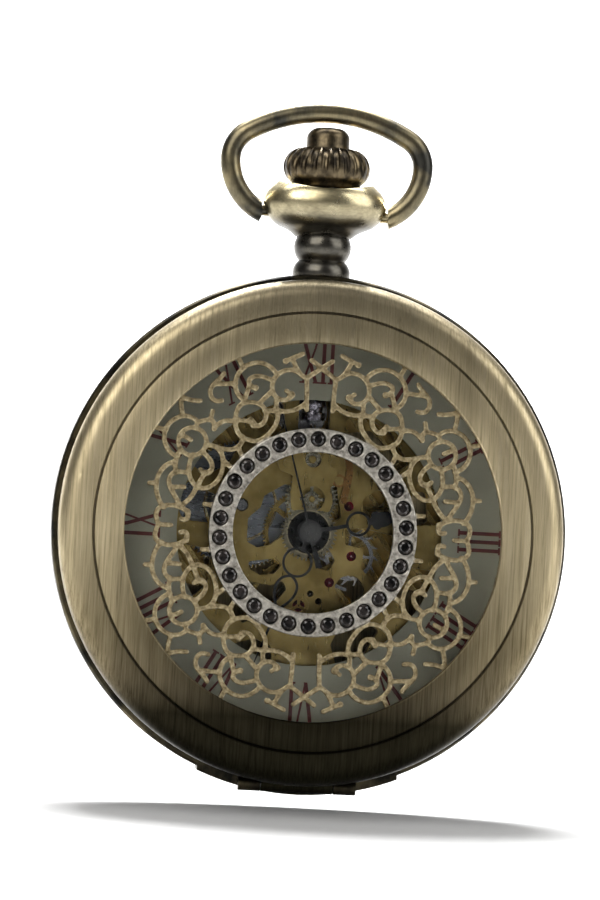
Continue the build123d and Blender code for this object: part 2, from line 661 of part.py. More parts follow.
def hour_hand():
    """Pointing up before it is turned: boss, shaft, open ring and a spade with two side lobes."""
    face = Circle(1.15) + stroke([(0, 0.9), (0, 3.5)], 0.34) + loop_link(4.55, 1.15, 0.24)
    for side in (-1, 1):
        face += Pos(side * 0.42, 6.25) * Circle(0.42)
        face += stroke([(side * 0.1, 5.7), (side * 0.55, 7.0), (0, 7.9)], 0.3)
    face += Polygon((-0.3, 5.55), (0.3, 5.55), (0.55, 6.9), (0, 8.9), (-0.55, 6.9), align=None)
    return hand(face, -2.75, -2.55, HOUR_ANGLE, 0.70)


def minute_hand():
    """Boss, shaft, large open ring, open leaf and a long thin point."""
    face = Circle(1.0) + stroke([(0, 0.8), (0, 1.7)], 0.32) + loop_link(2.95, 1.40, 0.22)
    for side in (-1, 1):
        face += stroke([(0, 4.3), (side * 0.95, 5.3), (side * 0.75, 6.5), (0, 7.6)], 0.24)
        face += Pos(side * 0.40, 8.0) * Circle(0.34)
    half = [(0.28, 7.4), (0.12, 9.2), (0.05, 13.0)]
    face += Polygon(*half, *[(-x, z) for x, z in reversed(half)], align=None)
    return hand(face, -3.25, -3.05, MINUTE_ANGLE_SHOWN, 0.45)


def second_hand():
    """Thin pointer with a tapered tail and a round cap on its pipe."""
    pointer = Polygon((-0.11, 0), (0.11, 0), (0.05, 12.6), (-0.05, 12.6), align=None)
    tail = Polygon((-0.1, 0), (0.1, 0), (0.30, -3.3), (-0.30, -3.3), align=None)
    body = slab(Rot(0, 0, -SECOND_ANGLE) * (Circle(0.6) + pointer + tail), -3.55, -3.42)
    return body + disc(0.48, -3.68, -3.55) + disc(0.40, -3.42, -3.32) - disc(ARBOR_R, -3.6, -3.3)


# ---- motion work and setting parts -----------------------------------------------------------------

def cannon_pinion():
    leaves = slab(gear_face(CANNON_TEETH, MOTION_MODULE), -1.35, -0.95)
    pipe = disc(0.60, -3.05, -0.95) + disc(0.45, -3.25, -3.05)
    return leaves + pipe - disc(0.38, -3.3, -0.9)


def minute_wheel():
    phase = mesh_phase(MINUTE_ANGLE, 0, CANNON_TEETH, MINUTE_TEETH)
    wheel = slab(spoked(MINUTE_TEETH, MOTION_MODULE, phase, 0.25, 0.7, 4, 0.3), *MINUTE_WHEEL_Y)
    pinion = slab(gear_face(MINUTE_PINION, HOUR_MODULE, 0), *MINUTE_PINION_Y)
    collar = disc(0.5, MINUTE_PINION_Y[1], MINUTE_WHEEL_Y[0])
    post_bore = disc(0.25 + SLIP, -2.0, -0.9)
    return Pos(MINUTE_XZ[0], 0, MINUTE_XZ[1]) * (wheel + pinion + collar - post_bore)


def hour_wheel():
    phase = mesh_phase(MINUTE_ANGLE + 180, 0, MINUTE_PINION, HOUR_TEETH)
    wheel = slab(gear_face(HOUR_TEETH, HOUR_MODULE, phase), *HOUR_WHEEL_Y)
    return wheel + disc(0.85, -2.55, -1.75) + disc(0.70, -2.75, -2.55) - disc(0.60 + SLIP, -3, -1.4)


def setting_phase():
    minute_phase = mesh_phase(MINUTE_ANGLE, 0, CANNON_TEETH, MINUTE_TEETH)
    across = (SETTING_XZ[0] - MINUTE_XZ[0], SETTING_XZ[1] - MINUTE_XZ[1])
    direction = math.degrees(math.atan2(across[1], across[0]))
    return mesh_phase(direction, minute_phase, MINUTE_TEETH, SETTING_TEETH)


def setting_wheel():
    teeth = gear_face(SETTING_TEETH, MOTION_MODULE, setting_phase())
    wheel = slab(teeth - Circle(0.3 + SLIP), *MINUTE_WHEEL_Y)
    return Pos(SETTING_XZ[0], 0, SETTING_XZ[1]) * wheel


def motion_cover():
    """Plate over the motion work with two round windows, a scalloped outline and two screwed lugs."""
    outline = rounded([
        (-1.75, 1.95), (-1.15, 2.05), (1.15, 2.05), (1.75, 1.95), (2.0, 2.9), (1.75, 4.3), (2.5, 5.8),
        (2.4, 7.0), (1.0, 7.6), (-0.6, 7.7), (-2.0, 7.2), (-3.3, 6.4), (-3.0, 5.6), (-1.75, 5.2),
        (-1.95, 3.6),
    ], 0.25)
    outline -= Pos(*MINUTE_XZ) * Circle(1.15)
    outline -= Pos(*SETTING_XZ) * Circle(0.75)
    outline -= Circle(2.15)
    for place in COVER_SCREWS:
        outline -= Pos(*place) * Circle(0.2)
    return slab(outline, *COVER_Y)


COVER_SCREWS = [(2.0, 6.45), (-2.3, 6.3)]


def motion_cover_screws():
    head_y, tip_y = COVER_Y[0] - 0.25, PLATE_FRONT_Y + 0.8
    return group([screw(at, head_y, COVER_Y[0], tip_y, 0.42, 0.2) for at in COVER_SCREWS])


def motion_cover_posts():
    posts = [disc(0.42, COVER_Y[1], PLATE_FRONT_Y, hole=0.2, at=at) for at in COVER_SCREWS]
    posts.append(disc(0.25, -2.0, PLATE_FRONT_Y + 0.5, at=MINUTE_XZ))
    posts.append(disc(0.30, -1.5, PLATE_FRONT_Y + 0.5, at=SETTING_XZ))
    return posts


def yoke():
    """Curved lever that shifts the clutch, pivoted on the plate."""
    face = stroke([(2.05, 7.3), (3.2, 7.1), (3.5, 5.9), (3.3, 4.3), (3.1, 3.1)], 0.62)
    face += Pos(2.55, 4.92) * Circle(0.62) + stroke([(2.55, 4.92), (3.2, 5.1)], 0.5)
    face += stroke([(2.1, 7.3), (0.95, 8.6)], 0.5)
    face -= Pos(2.55, 4.92) * Circle(0.3)
    return slab(face, -1.35, -1.0)


def yoke_screw():
    return screw((2.55, 4.92), -1.6, -1.35, -0.3, 0.4, 0.3)


def winding_pinion():
    """Round pinion free on the stem, with face ratchet teeth towards the clutch."""
    teeth = extrude(Pos(0, 0, PINION_BASE_Z) * gear_face(WINDING_TEETH, 0.15), amount=0.9)
    return teeth - Pos(0, 0, PINION_BASE_Z) * Cylinder(STEM_R + SLIP, 4)


def clutch_wheel():
    """Castle wheel sliding on the stem's square."""
    drum = Cylinder(1.05, 1.9) - Cylinder(1.05, 0.5) + Cylinder(0.8, 0.5)
    round_bore = Pos(0, 0, 1.4) * Cylinder(STEM_R + SLIP, 2)
    return Pos(0, 0, SQUARE_TOP_Z - 1.25) * (drum - Box(0.66, 0.66, 3) - round_bore)


def setting_lever():
    """Lever whose pin sits in the stem's groove."""
    face = stroke([(0.0, 17.3), (-1.6, 17.5), (-3.2, 16.9)], 0.7)
    pin = disc(0.2, -0.95, -0.36, at=(0.0, 17.3))
    return slab(face, -1.35, -0.95) + pin


# ---- main plate and holder --------------------------------------------------------------------------

# cut-outs of the skeleton plate, seen from the dial side: outline corners of each window
PLATE_WINDOWS = [
    [(-5.6, -1.1), (-5.6, 1.1), (-4.5, 2.1), (-4.2, 3.2), (-2.4, 4.35), (-1.8, 4.3), (-2.0, 2.6),
     (-2.05, 0.4), (-2.6, -0.6), (-3.5, -1.3), (-4.6, -1.6)],
    [(-5.4, -2.9), (-2.9, -2.5), (-2.2, -3.0), (-2.9, -3.9), (-4.2, -4.1), (-5.2, -3.6)],
    [(-6.6, -3.4), (-6.1, -4.6), (-3.2, -5.0), (-2.1, -4.5), (-1.7, -5.3), (-3.2, -7.2), (-5.6, -8.6),
     (-8.2, -6.6)],
    [(2.15, 1.1), (3.0, 1.6), (2.5, 3.9), (2.3, 5.9), (1.9, 4.2), (2.15, 2.4)],
    [(4.9, 3.4), (6.3, 4.4), (8.2, 3.4), (8.9, 1.6), (6.5, 1.1), (5.0, 1.9)],
    [(3.3, 0.6), (5.2, 0.7), (7.9, 0.2), (8.3, -2.4), (7.2, -4.2), (6.0, -4.0), (5.1, -3.0), (5.2, -1.2),
     (3.5, -0.9)],
    [(0.9, -2.0), (2.2, -1.6), (2.6, -2.4), (2.1, -3.4), (1.0, -3.2)],
    [(8.2, -4.6), (9.4, -2.6), (11.8, -2.9), (12.3, -4.8), (10.6, -7.4), (8.9, -6.6)],
    [(9.8, 1.2), (9.3, 3.6), (10.0, 5.4), (12.0, 4.0), (12.6, 1.4)],
    [(-7.6, 6.0), (-9.6, 4.8), (-11.6, 6.0), (-9.9, 8.8), (-8.0, 9.9), (-6.6, 8.2)],
    [(-8.4, 0.4), (-11.6, 0.6), (-12.5, 2.6), (-11.2, 4.2), (-8.6, 3.0)],
    [(-8.8, -2.0), (-11.4, -1.6), (-12.3, -3.8), (-10.6, -6.6), (-9.0, -5.2)],
    [(2.8, 8.8), (5.2, 7.6), (7.4, 5.7), (9.0, 6.8), (7.2, 9.6), (4.4, 11.3), (3.0, 10.6)],
    [(-3.6, 8.6), (-2.6, 9.6), (-2.9, 11.9), (-5.6, 11.2), (-5.2, 9.2)],
    [(3.4, -8.3), (5.0, -7.4), (7.0, -8.6), (5.6, -11.2), (3.2, -12.0), (2.6, -10.2)],
    [(-4.4, -9.9), (-2.9, -10.6), (-2.7, -12.3), (-5.6, -11.8), (-6.6, -10.6)],
]
PLATE_EYE_XZ = (4.06, -5.06)
PLATE_EYE_R = 1.35
STUD_HOLES = [(0.49, -5.57), (1.28, -6.24)]
FOOT_PLACES = [(-13.0, -1.0), (12.9, -0.6), (6.3, 11.4), (-7.4, -11.3), (8.2, -10.2)]


def train_places():
    return [THIRD_XZ, ESCAPE_XZ, PALLET_XZ]


def main_plate():
    face = Circle(PLATE_R)
    for corners in PLATE_WINDOWS:
        face -= rounded(corners, 0.28)
    face -= Circle(0.45 + SLIP)
    face -= Pos(*PLATE_EYE_XZ) * Circle(PLATE_EYE_R)
    for place in train_places():
        face -= Pos(*place) * Circle(JEWEL_R)
    face -= Pos(*BALANCE_XZ) * Circle(0.95)
    face -= Pos(*BARREL_XZ) * Circle(0.55 + SLIP)
    for place in STUD_HOLES + FOOT_PLACES:
        face -= Pos(*place) * Circle(0.3)
    body = slab(face, PLATE_FRONT_Y, PLATE_BACK_Y)
    for place in COVER_SCREWS:
        body -= disc(0.2, PLATE_FRONT_Y, PLATE_FRONT_Y + 0.8, at=place)
    body -= disc(0.25, PLATE_FRONT_Y, PLATE_FRONT_Y + 0.5, at=MINUTE_XZ)
    body -= disc(0.30, PLATE_FRONT_Y, PLATE_FRONT_Y + 0.5, at=SETTING_XZ)
    body -= disc(0.30, PLATE_FRONT_Y, -0.3, at=(2.55, 4.92))
    body -= Pos(0, -0.1, 12.8) * Box(2.9, 3.2, 7.6)
    body -= Pos(0, 0, 8.4) * Cylinder(0.25 + SLIP, 1.8)
    for post in motion_cover_posts():
        body += post
    sink = disc(3.2, PLATE_FRONT_Y, PLATE_FRONT_Y + 0.15, at=MINUTE_XZ)
    ledge = disc(1.9, PLATE_FRONT_Y, PLATE_FRONT_Y + 0.15, at=SETTING_XZ)
    pads = [disc(0.6, -2, 0, at=place) for place in COVER_SCREWS + [MINUTE_XZ, SETTING_XZ]]
    return body - (sink + ledge - pads)


def movement_holder():
    ring = disc(HOLDER_R, DIAL_BACK_Y, 1.4, hole=HOLDER_IN_R)
    ring -= Pos(0, -0.5, 20.6) * Box(4.2, 5, 2.4)
    ring -= Pos(-1.7, -0.9, 17.3) * Box(5.0, 1.7, 3.6)
    ring -= Pos(0, 0, 18) * Cylinder(STEM_R + SLIP, 8)
    for angle in CLAMP_ANGLES:
        ring -= disc(0.36, 0.4, 1.4, at=polar(CLAMP_SCREW_R, angle))
    return ring


def plate_jewels():
    """Pierced rubies pressed into the plate, one for each train arbor."""
    return group([disc(JEWEL_R, PLATE_FRONT_Y, -0.5, hole=0.10, at=place) for place in train_places()])


def balance_setting():
    """Shock setting of the balance: a chaton, its cap jewel and a three-armed spring."""
    x, z = BALANCE_XZ
    chaton = disc(0.95, PLATE_FRONT_Y, -0.2, hole=0.55, at=BALANCE_XZ)
    arms = Sketch() + [Rot(0, 0, 90 + i * 120) * (Pos(0.42, 0) * Rectangle(0.9, 0.26)) for i in range(3)]
    spring = slab(Pos(x, z) * (arms + Circle(0.2) - Circle(0.08)), PLATE_FRONT_Y - 0.12, PLATE_FRONT_Y)
    return chaton + spring


def balance_jewel():
    return disc(0.55, -0.75, -0.2, hole=0.08, at=BALANCE_XZ)


# ---- barrel, ratchet and winding --------------------------------------------------------------------

def barrel_phase():
    return mesh_phase(BARREL_ANGLE, 0, CENTRE_PINION, BARREL_TEETH)


def barrel():
    """Toothed drum, open at the back, with a turned groove in its face."""
    teeth = slab(gear_face(BARREL_TEETH, BARREL_MODULE, barrel_phase()), *BARREL_TEETH_Y)
    drum = disc(BARREL_DRUM_R, BARREL_TEETH_Y[0], BARREL_BACK_Y)
    inside = disc(BARREL_DRUM_R - 0.3, 1.28, BARREL_BACK_Y)
    groove = disc(3.35, BARREL_TEETH_Y[0], 1.15, hole=3.2)
    return Pos(BARREL_XZ[0], 0, BARREL_XZ[1]) * (teeth + drum - inside - groove - disc(0.5 + SLIP, 1, 2))


def barrel_cover():
    return disc(BARREL_DRUM_R - 0.3, 1.80, BARREL_BACK_Y, hole=0.5 + SLIP, at=BARREL_XZ)


def barrel_arbor():
    x, z = BARREL_XZ
    body = disc(0.5, PLATE_FRONT_Y + 0.2, BRIDGE_BACK_Y + 0.05) + disc(1.1, 1.35, 1.75)
    square = Pos(0, BRIDGE_BACK_Y + 0.2, 0) * Box(0.64, 0.3, 0.64)
    return Pos(x, 0, z) * (body + square)


def mainspring():
    """Flat spiral strip from the arbor to the drum's wall."""
    turns = 7
    r_in, r_out = 1.25, BARREL_DRUM_R - 0.45
    points = []
    for i in range(turns * 8 + 1):
        share = i / (turns * 8)
        points.append(polar(r_in + (r_out - r_in) * share, 45 * i))
    strip = trace(Spline(*points), 0.12)
    return Pos(BARREL_XZ[0], 0, BARREL_XZ[1]) * slab(strip, 1.35, 1.72)


def ratchet_wheel():
    teeth = slab(gear_face(RATCHET_TEETH, RATCHET_MODULE), BRIDGE_BACK_Y + 0.05, BRIDGE_BACK_Y + 0.35)
    square = Pos(0, BRIDGE_BACK_Y + 0.2, 0) * Box(0.64, 1, 0.64)
    return Pos(BARREL_XZ[0], 0, BARREL_XZ[1]) * (teeth - square)


def ratchet_screw():
    return disc(0.95, BRIDGE_BACK_Y + 0.35, BRIDGE_BACK_Y + 0.6, at=BARREL_XZ) - Pos(
        BARREL_XZ[0], BRIDGE_BACK_Y + 0.6, BARREL_XZ[1]) * Box(2.4, 0.24, 0.22)


def idler_phase():
    return mesh_phase(WINDING_LINE_ANGLE, 0, RATCHET_TEETH, IDLER_TEETH)


def winding_idler():
    teeth = gear_face(IDLER_TEETH, RATCHET_MODULE, idler_phase()) - Circle(0.6 + SLIP)
    return Pos(IDLER_XZ[0], 0, IDLER_XZ[1]) * slab(teeth, *WINDING_Y)


def crown_wheel():
    """Spur wheel on the bridge, joined through it to a flange with face teeth over the winding pinion."""
    phase = mesh_phase(WINDING_LINE_ANGLE, idler_phase(), IDLER_TEETH, CROWN_WHEEL_TEETH)
    spur = slab(gear_face(CROWN_WHEEL_TEETH, RATCHET_MODULE, phase), *WINDING_Y)
    boss = disc(0.9, 1.60, WINDING_Y[0])
    flange = disc(2.38, 1.60, 1.85)
    face_teeth = slab(gear_face(CONTRATE_TEETH, 0.17) - Circle(1.7), 1.42, 1.60)
    body = spur + boss + flange + face_teeth - disc(0.3, 3.4, 3.7)
    return Pos(CROWN_WHEEL_XZ[0], 0, CROWN_WHEEL_XZ[1]) * body


def idler_screw():
    return screw(IDLER_XZ, BRIDGE_BACK_Y + 0.62, BRIDGE_BACK_Y + 0.37, BRIDGE_BACK_Y, 1.0, 0.6)


CLICK_XZ = polar(RATCHET_MODULE * RATCHET_TEETH / 2 + 1.15, 200, BARREL_XZ)


def click():
    tip = polar(RATCHET_MODULE * RATCHET_TEETH / 2 + 0.36, 212, BARREL_XZ)
    tail = polar(RATCHET_MODULE * RATCHET_TEETH / 2 + 1.5, 190, BARREL_XZ)
    face = stroke([CLICK_XZ, tip], 0.34) + stroke([CLICK_XZ, tail], 0.5) + Pos(*CLICK_XZ) * Circle(0.5)
    return slab(face - Pos(*CLICK_XZ) * Circle(0.22 + SLIP), BRIDGE_BACK_Y + 0.05, BRIDGE_BACK_Y + 0.35)


def click_screw():
    return screw(CLICK_XZ, BRIDGE_BACK_Y + 0.55, BRIDGE_BACK_Y + 0.37, BRIDGE_BACK_Y, 0.42, 0.22)


def click_spring():
    start = polar(RATCHET_MODULE * RATCHET_TEETH / 2 + 2.3, 186, BARREL_XZ)
    middle = polar(RATCHET_MODULE * RATCHET_TEETH / 2 + 2.45, 196, BARREL_XZ)
    end = polar(RATCHET_MODULE * RATCHET_TEETH / 2 + 1.5, 214, BARREL_XZ)
    return slab(stroke([start, middle, end], 0.14), BRIDGE_BACK_Y + 0.05, BRIDGE_BACK_Y + 0.3)


# ---- going train ------------------------------------------------------------------------------------

def centre_wheel():
    """Wheel and pinion on one hollow arbor, which carries the cannon pinion in front."""
    wheel = slab(spoked(CENTRE_TEETH, CENTRE_MODULE, 0, 0.35, 1.1, 5, 0.45), *CENTRE_WHEEL_Y)
    pinion = slab(gear_face(CENTRE_PINION, BARREL_MODULE), *CENTRE_PINION_Y)
    tube = disc(0.45, PLATE_FRONT_Y - 0.05, CENTRE_WHEEL_Y[0]) + disc(0.38, -2.9, PLATE_FRONT_Y - 0.05)
    return wheel + pinion + tube - disc(ARBOR_R + SLIP, -3, 2)


def third_wheel():
    """Pinion by the plate, wheel behind it, and pivots at both ends."""
    pinion_phase = mesh_phase(THIRD_ANGLE, 0, CENTRE_TEETH, THIRD_PINION)
    pinion = slab(gear_face(THIRD_PINION, CENTRE_MODULE, pinion_phase), *THIRD_PINION_Y)
    wheel = slab(spoked(THIRD_TEETH, THIRD_MODULE, 0, 0.3, 0.7, 4, 0.35), *THIRD_WHEEL_Y)
    arbor = disc(ARBOR_R, -0.45, 2.45) + disc(0.08, -0.85, 2.95)
    return Pos(THIRD_XZ[0], 0, THIRD_XZ[1]) * (pinion + wheel + arbor)


def fourth_wheel():
    """Sweep-seconds wheel whose long arbor passes through the centre tube."""
    pinion_phase = mesh_phase(THIRD_ANGLE + 180, 0, THIRD_TEETH, FOURTH_PINION)
    pinion = slab(gear_face(FOURTH_PINION, THIRD_MODULE, pinion_phase), *FOURTH_PINION_Y)
    wheel = slab(spoked(FOURTH_TEETH, FOURTH_MODULE, 0, 0.3, 0.8, 5, 0.35), *FOURTH_WHEEL_Y)
    arbor = disc(ARBOR_R, -3.6, 2.45) + disc(0.08, 2.4, 2.95)
    return pinion + wheel + arbor


ESCAPE_REST = 0.25        # share of a tooth by which the wheel stands past the pallets' centre line


def escape_tooth():
    return Polygon((-0.24, 2.2), (0.08, 2.2), (0.36, 2.73), (0.22, 2.73), align=None)


def escape_wheel():
    pinion_phase = mesh_phase(ESCAPE_ANGLE, 0, FOURTH_TEETH, ESCAPE_PINION)
    pinion = slab(gear_face(ESCAPE_PINION, FOURTH_MODULE, pinion_phase), *ESCAPE_PINION_Y)
    face = Circle(2.25) - Circle(1.9) + Circle(0.5)
    for spoke in range(4):
        face += Rot(0, 0, 90 * spoke) * (Pos(1.0, 0) * Rectangle(2.0, 0.26))
    for tooth in range(ESCAPE_TEETH):
        face += Rot(0, 0, (tooth + ESCAPE_REST) * 360 / ESCAPE_TEETH) * escape_tooth()
    wheel = slab(face, *ESCAPE_WHEEL_Y)
    arbor = disc(ARBOR_R, -0.45, 2.45) + disc(0.08, -0.85, 2.95)
    return Pos(ESCAPE_XZ[0], 0, ESCAPE_XZ[1]) * (pinion + wheel + arbor)


PALLET_LEVEL_Y = (0.95, 1.15)


def pallet_fork():
    """Anchor with two stones over the escape wheel and a forked lever towards the balance."""
    x, z = PALLET_XZ
    to_escape = math.degrees(math.atan2(ESCAPE_XZ[1] - z, ESCAPE_XZ[0] - x))
    to_balance = math.degrees(math.atan2(BALANCE_XZ[1] - z, BALANCE_XZ[0] - x))
    left = polar(1.75, to_escape + PALLET_SPREAD)
    right = polar(1.75, to_escape - PALLET_SPREAD)
    anchor = stroke([left, (0, 0)], 0.3) + stroke([(0, 0), right], 0.3) + Circle(0.42)
    lever = stroke([(0, 0), polar(2.35, to_balance)], 0.28)
    fork = Sketch() + [stroke([polar(2.3, to_balance), polar(2.75, to_balance + s)], 0.16) for s in (7, -7)]
    arbor = disc(ARBOR_R, -0.45, 1.62) + disc(0.08, -0.85, 1.95)
    body = slab(anchor + lever + fork, *PALLET_LEVEL_Y) + arbor
    return Pos(x, 0, z) * body


def pallet_stones():
    """Two ruby pallets standing back from the anchor into the escape wheel's plane."""
    x, z = PALLET_XZ
    to_escape = math.degrees(math.atan2(ESCAPE_XZ[1] - z, ESCAPE_XZ[0] - x))
    stones = []
    for side in (PALLET_SPREAD, -PALLET_SPREAD):
        at = polar(1.72, to_escape + side, PALLET_XZ)
        stone = Pos(*at) * (Rot(0, 0, to_escape + side * 0.35) * Rectangle(0.42, 0.2))
        stones.append(slab(stone, PALLET_LEVEL_Y[1], 1.33))
    return group(stones)


def pallet_bridge():
    """Low bridge that holds the pallet arbor under the balance."""
    x, z = PALLET_XZ
    face = stroke([(x - 0.2, z + 0.1), (x + 1.6, z - 1.6)], 1.0) + Pos(x, z) * Circle(0.7)
    foot_at = (x + 1.75, z - 1.75)
    face += Pos(*foot_at) * Circle(0.62)
    body = slab(face, 1.70, 2.05) + disc(0.5, PLATE_BACK_Y, 1.70, at=foot_at)
    return body - disc(0.10, 1.6, 2.1, at=PALLET_XZ)


def balance_wheel():
    """Two-armed balance with timing screws, staff and roller."""
    face = Circle(BALANCE_R) - Circle(BALANCE_R - 0.4) + Circle(0.6) + Rectangle(2 * BALANCE_R - 0.5, 0.45)
    rim = slab(face, *BALANCE_Y)
    staff = disc(0.22, -0.15, 2.8) + disc(0.22, 2.8, 3.35) + disc(0.07, -0.25, -0.15) + disc(0.07, 3.35, 3.6)
    roller = disc(0.55, 1.30, 1.55)
    screws = []
    for angle in range(15, 360, 30):
        turn = Rot(0, -angle, 0)
        screws.append(turn * (Pos(BALANCE_R + 0.08, 2.6, 0) * (Rot(0, 90, 0) * Cylinder(0.16, 0.3))))
    body = rim + staff + roller
    for piece in screws:
        body += piece
    return Pos(BALANCE_XZ[0], 0, BALANCE_XZ[1]) * body


def hairspring():
    """Fine flat spiral from the collet to the stud."""
    turns = 9
    points = []
    for i in range(turns * 8 + 1):
        points.append(polar(0.40 + 1.8 * i / (turns * 8), 45 * i + 30))
    strip = trace(Spline(*points), 0.05)
    collet = Circle(0.42) - Circle(0.22)
    return Pos(BALANCE_XZ[0], 0, BALANCE_XZ[1]) * (slab(strip, 2.98, 3.12) + slab(collet, 2.95, 3.15))


def balance_cock():
    x, z = BALANCE_XZ
    outline = rounded([
        (x - 0.9, z + 1.1), (x + 0.9, z + 1.1), (x + 1.3, z - 1.2), (x + 1.9, z - 4.9), (x + 3.2, z - 6.2),
        (x + 1.5, z - 7.15), (x - 2.2, z - 7.05), (x - 3.4, z - 5.9), (x - 1.7, z - 4.9), (x - 1.3, z - 1.2),
    ], 0.35)
    top = slab(outline, 3.30, 4.00)
    foot = slab(outline & Pos(x, z - 6.3) * Rectangle(8, 2.4), PLATE_BACK_Y, 3.30)
    body = top + foot - disc(0.5, 3.55, 4.0, at=BALANCE_XZ) - disc(0.10, 3.2, 4.1, at=BALANCE_XZ)
    body -= disc(0.27, 3.2, 3.4, at=BALANCE_XZ)
    return body & disc(PLATE_R, 0, 5) - disc(0.3, PLATE_BACK_Y - 0.1, 4.1, at=(x, z - 6.2))


def balance_cap_jewel():
    return disc(0.5, 3.62, 4.0, at=BALANCE_XZ)


def cock_screw():
    x, z = BALANCE_XZ
    return screw((x, z - 6.2), 4.25, 4.0, PLATE_BACK_Y, 0.75, 0.3)


def regulator():
    """Index ring round the cap jewel with a long pointer."""
    x, z = BALANCE_XZ
    face = Pos(x, z) * (Circle(0.95) - Circle(0.6)) + stroke([(x + 0.8, z - 0.1), (x + 3.6, z + 0.6)], 0.24)
    return slab(face, 4.0, 4.15)


# ---- bridges ----------------------------------------------------------------------------------------

BARREL_BRIDGE_FEET = [(-12.9, -2.2), (-8.6, 10.4), (-5.2, 12.2)]
TRAIN_BRIDGE_FEET = [(12.9, -0.6), (6.3, 11.4), (2.9, 12.4)]


def bridge_edge():
    """Everything outside the balance's well."""
    return Circle(PLATE_R - 0.3) - Pos(*BALANCE_XZ) * Circle(BALANCE_R + 0.6)


def bridge_feet(places):
    feet = Sketch() + [Pos(*at) * (Circle(0.8) - Circle(0.3)) for at in places]
    return slab(feet & Circle(PLATE_R - 0.1), PLATE_BACK_Y, BRIDGE_FRONT_Y)


def barrel_bridge():
    outline = rounded([
        (-0.9, 1.3), (-0.9, 8.0), (0.5, 9.0), (0.5, 13.6), (-6.0, 13.6), (-12.2, 8.8), (-14.5, 2.0),
        (-13.6, -4.8), (-8.2, -5.6), (-3.6, -1.6),
    ], 0.5)
    face = outline & bridge_edge()
    window = [(-4.0, -0.2), (-6.6, -2.2), (-9.4, -2.6), (-8.9, -4.3), (-5.6, -3.9), (-3.5, -1.4)]
    face -= rounded(window, 0.3)
    face -= Pos(*BARREL_XZ) * Circle(0.5 + SLIP)
    face -= Pos(*CROWN_WHEEL_XZ) * Circle(0.9 + SLIP)
    face = cut_screw_holes(face, BARREL_BRIDGE_FEET)
    return slab(face, BRIDGE_FRONT_Y, BRIDGE_BACK_Y) + bridge_feet(BARREL_BRIDGE_FEET)


def cut_screw_holes(face, places):
    for at in places:
        face -= Pos(*at) * Circle(0.3)
    return face


def train_bridge():
    outline = rounded([
        (-0.7, -1.2), (-0.7, 7.8), (0.75, 8.9), (0.75, 13.6), (7.0, 13.2), (13.2, 7.2), (14.6, -1.0),
        (12.4, -4.9), (7.6, -4.6), (3.6, -3.2), (1.4, -1.7),
    ], 0.5)
    face = outline & bridge_edge()
    face -= rounded([(1.6, 4.6), (3.4, 6.0), (7.2, 5.6), (8.6, 7.2), (5.6, 9.8), (1.8, 9.2)], 0.4)
    face -= rounded([(7.2, 0.4), (11.4, 1.6), (11.0, 4.4), (8.6, 4.4), (6.4, 2.6)], 0.4)
    for place in (THIRD_XZ, ESCAPE_XZ, (0, 0)):
        face -= Pos(*place) * Circle(JEWEL_R)
    face = cut_screw_holes(face, TRAIN_BRIDGE_FEET)
    return slab(face, BRIDGE_FRONT_Y, BRIDGE_BACK_Y) + bridge_feet(TRAIN_BRIDGE_FEET)


def bridge_jewels():
    places = [THIRD_XZ, ESCAPE_XZ, (0, 0)]
    return group([disc(JEWEL_R, 2.7, BRIDGE_BACK_Y, hole=0.10, at=place) for place in places])


def bridge_screws():
    places = BARREL_BRIDGE_FEET + TRAIN_BRIDGE_FEET
    return group([screw(at, BRIDGE_BACK_Y + 0.25, BRIDGE_BACK_Y, PLATE_BACK_Y, 0.7, 0.3) for at in places])


CLAMP_SCREW_R = 15.5
CLAMP_ANGLES = (-32, 212)


def case_clamps():
    """Two tabs screwed to the plate's rim that reach over the holder ring."""
    tabs = []
    for angle in CLAMP_ANGLES:
        tab = Pos(15.4, 0) * Rectangle(3.8, 1.8) - Pos(CLAMP_SCREW_R, 0) * Circle(0.36)
        foot = Pos(13.9, 0) * Rectangle(0.8, 1.8)
        turn = Rot(0, 0, angle)
        tabs.append(slab(turn * tab, 1.4, 1.7) + slab(turn * foot, PLATE_BACK_Y, 1.4))
    return group(tabs)


def clamp_screws():
    places = [polar(CLAMP_SCREW_R, angle) for angle in CLAMP_ANGLES]
    return group([screw(at, 1.95, 1.7, 0.4, 0.7, 0.36) for at in places])


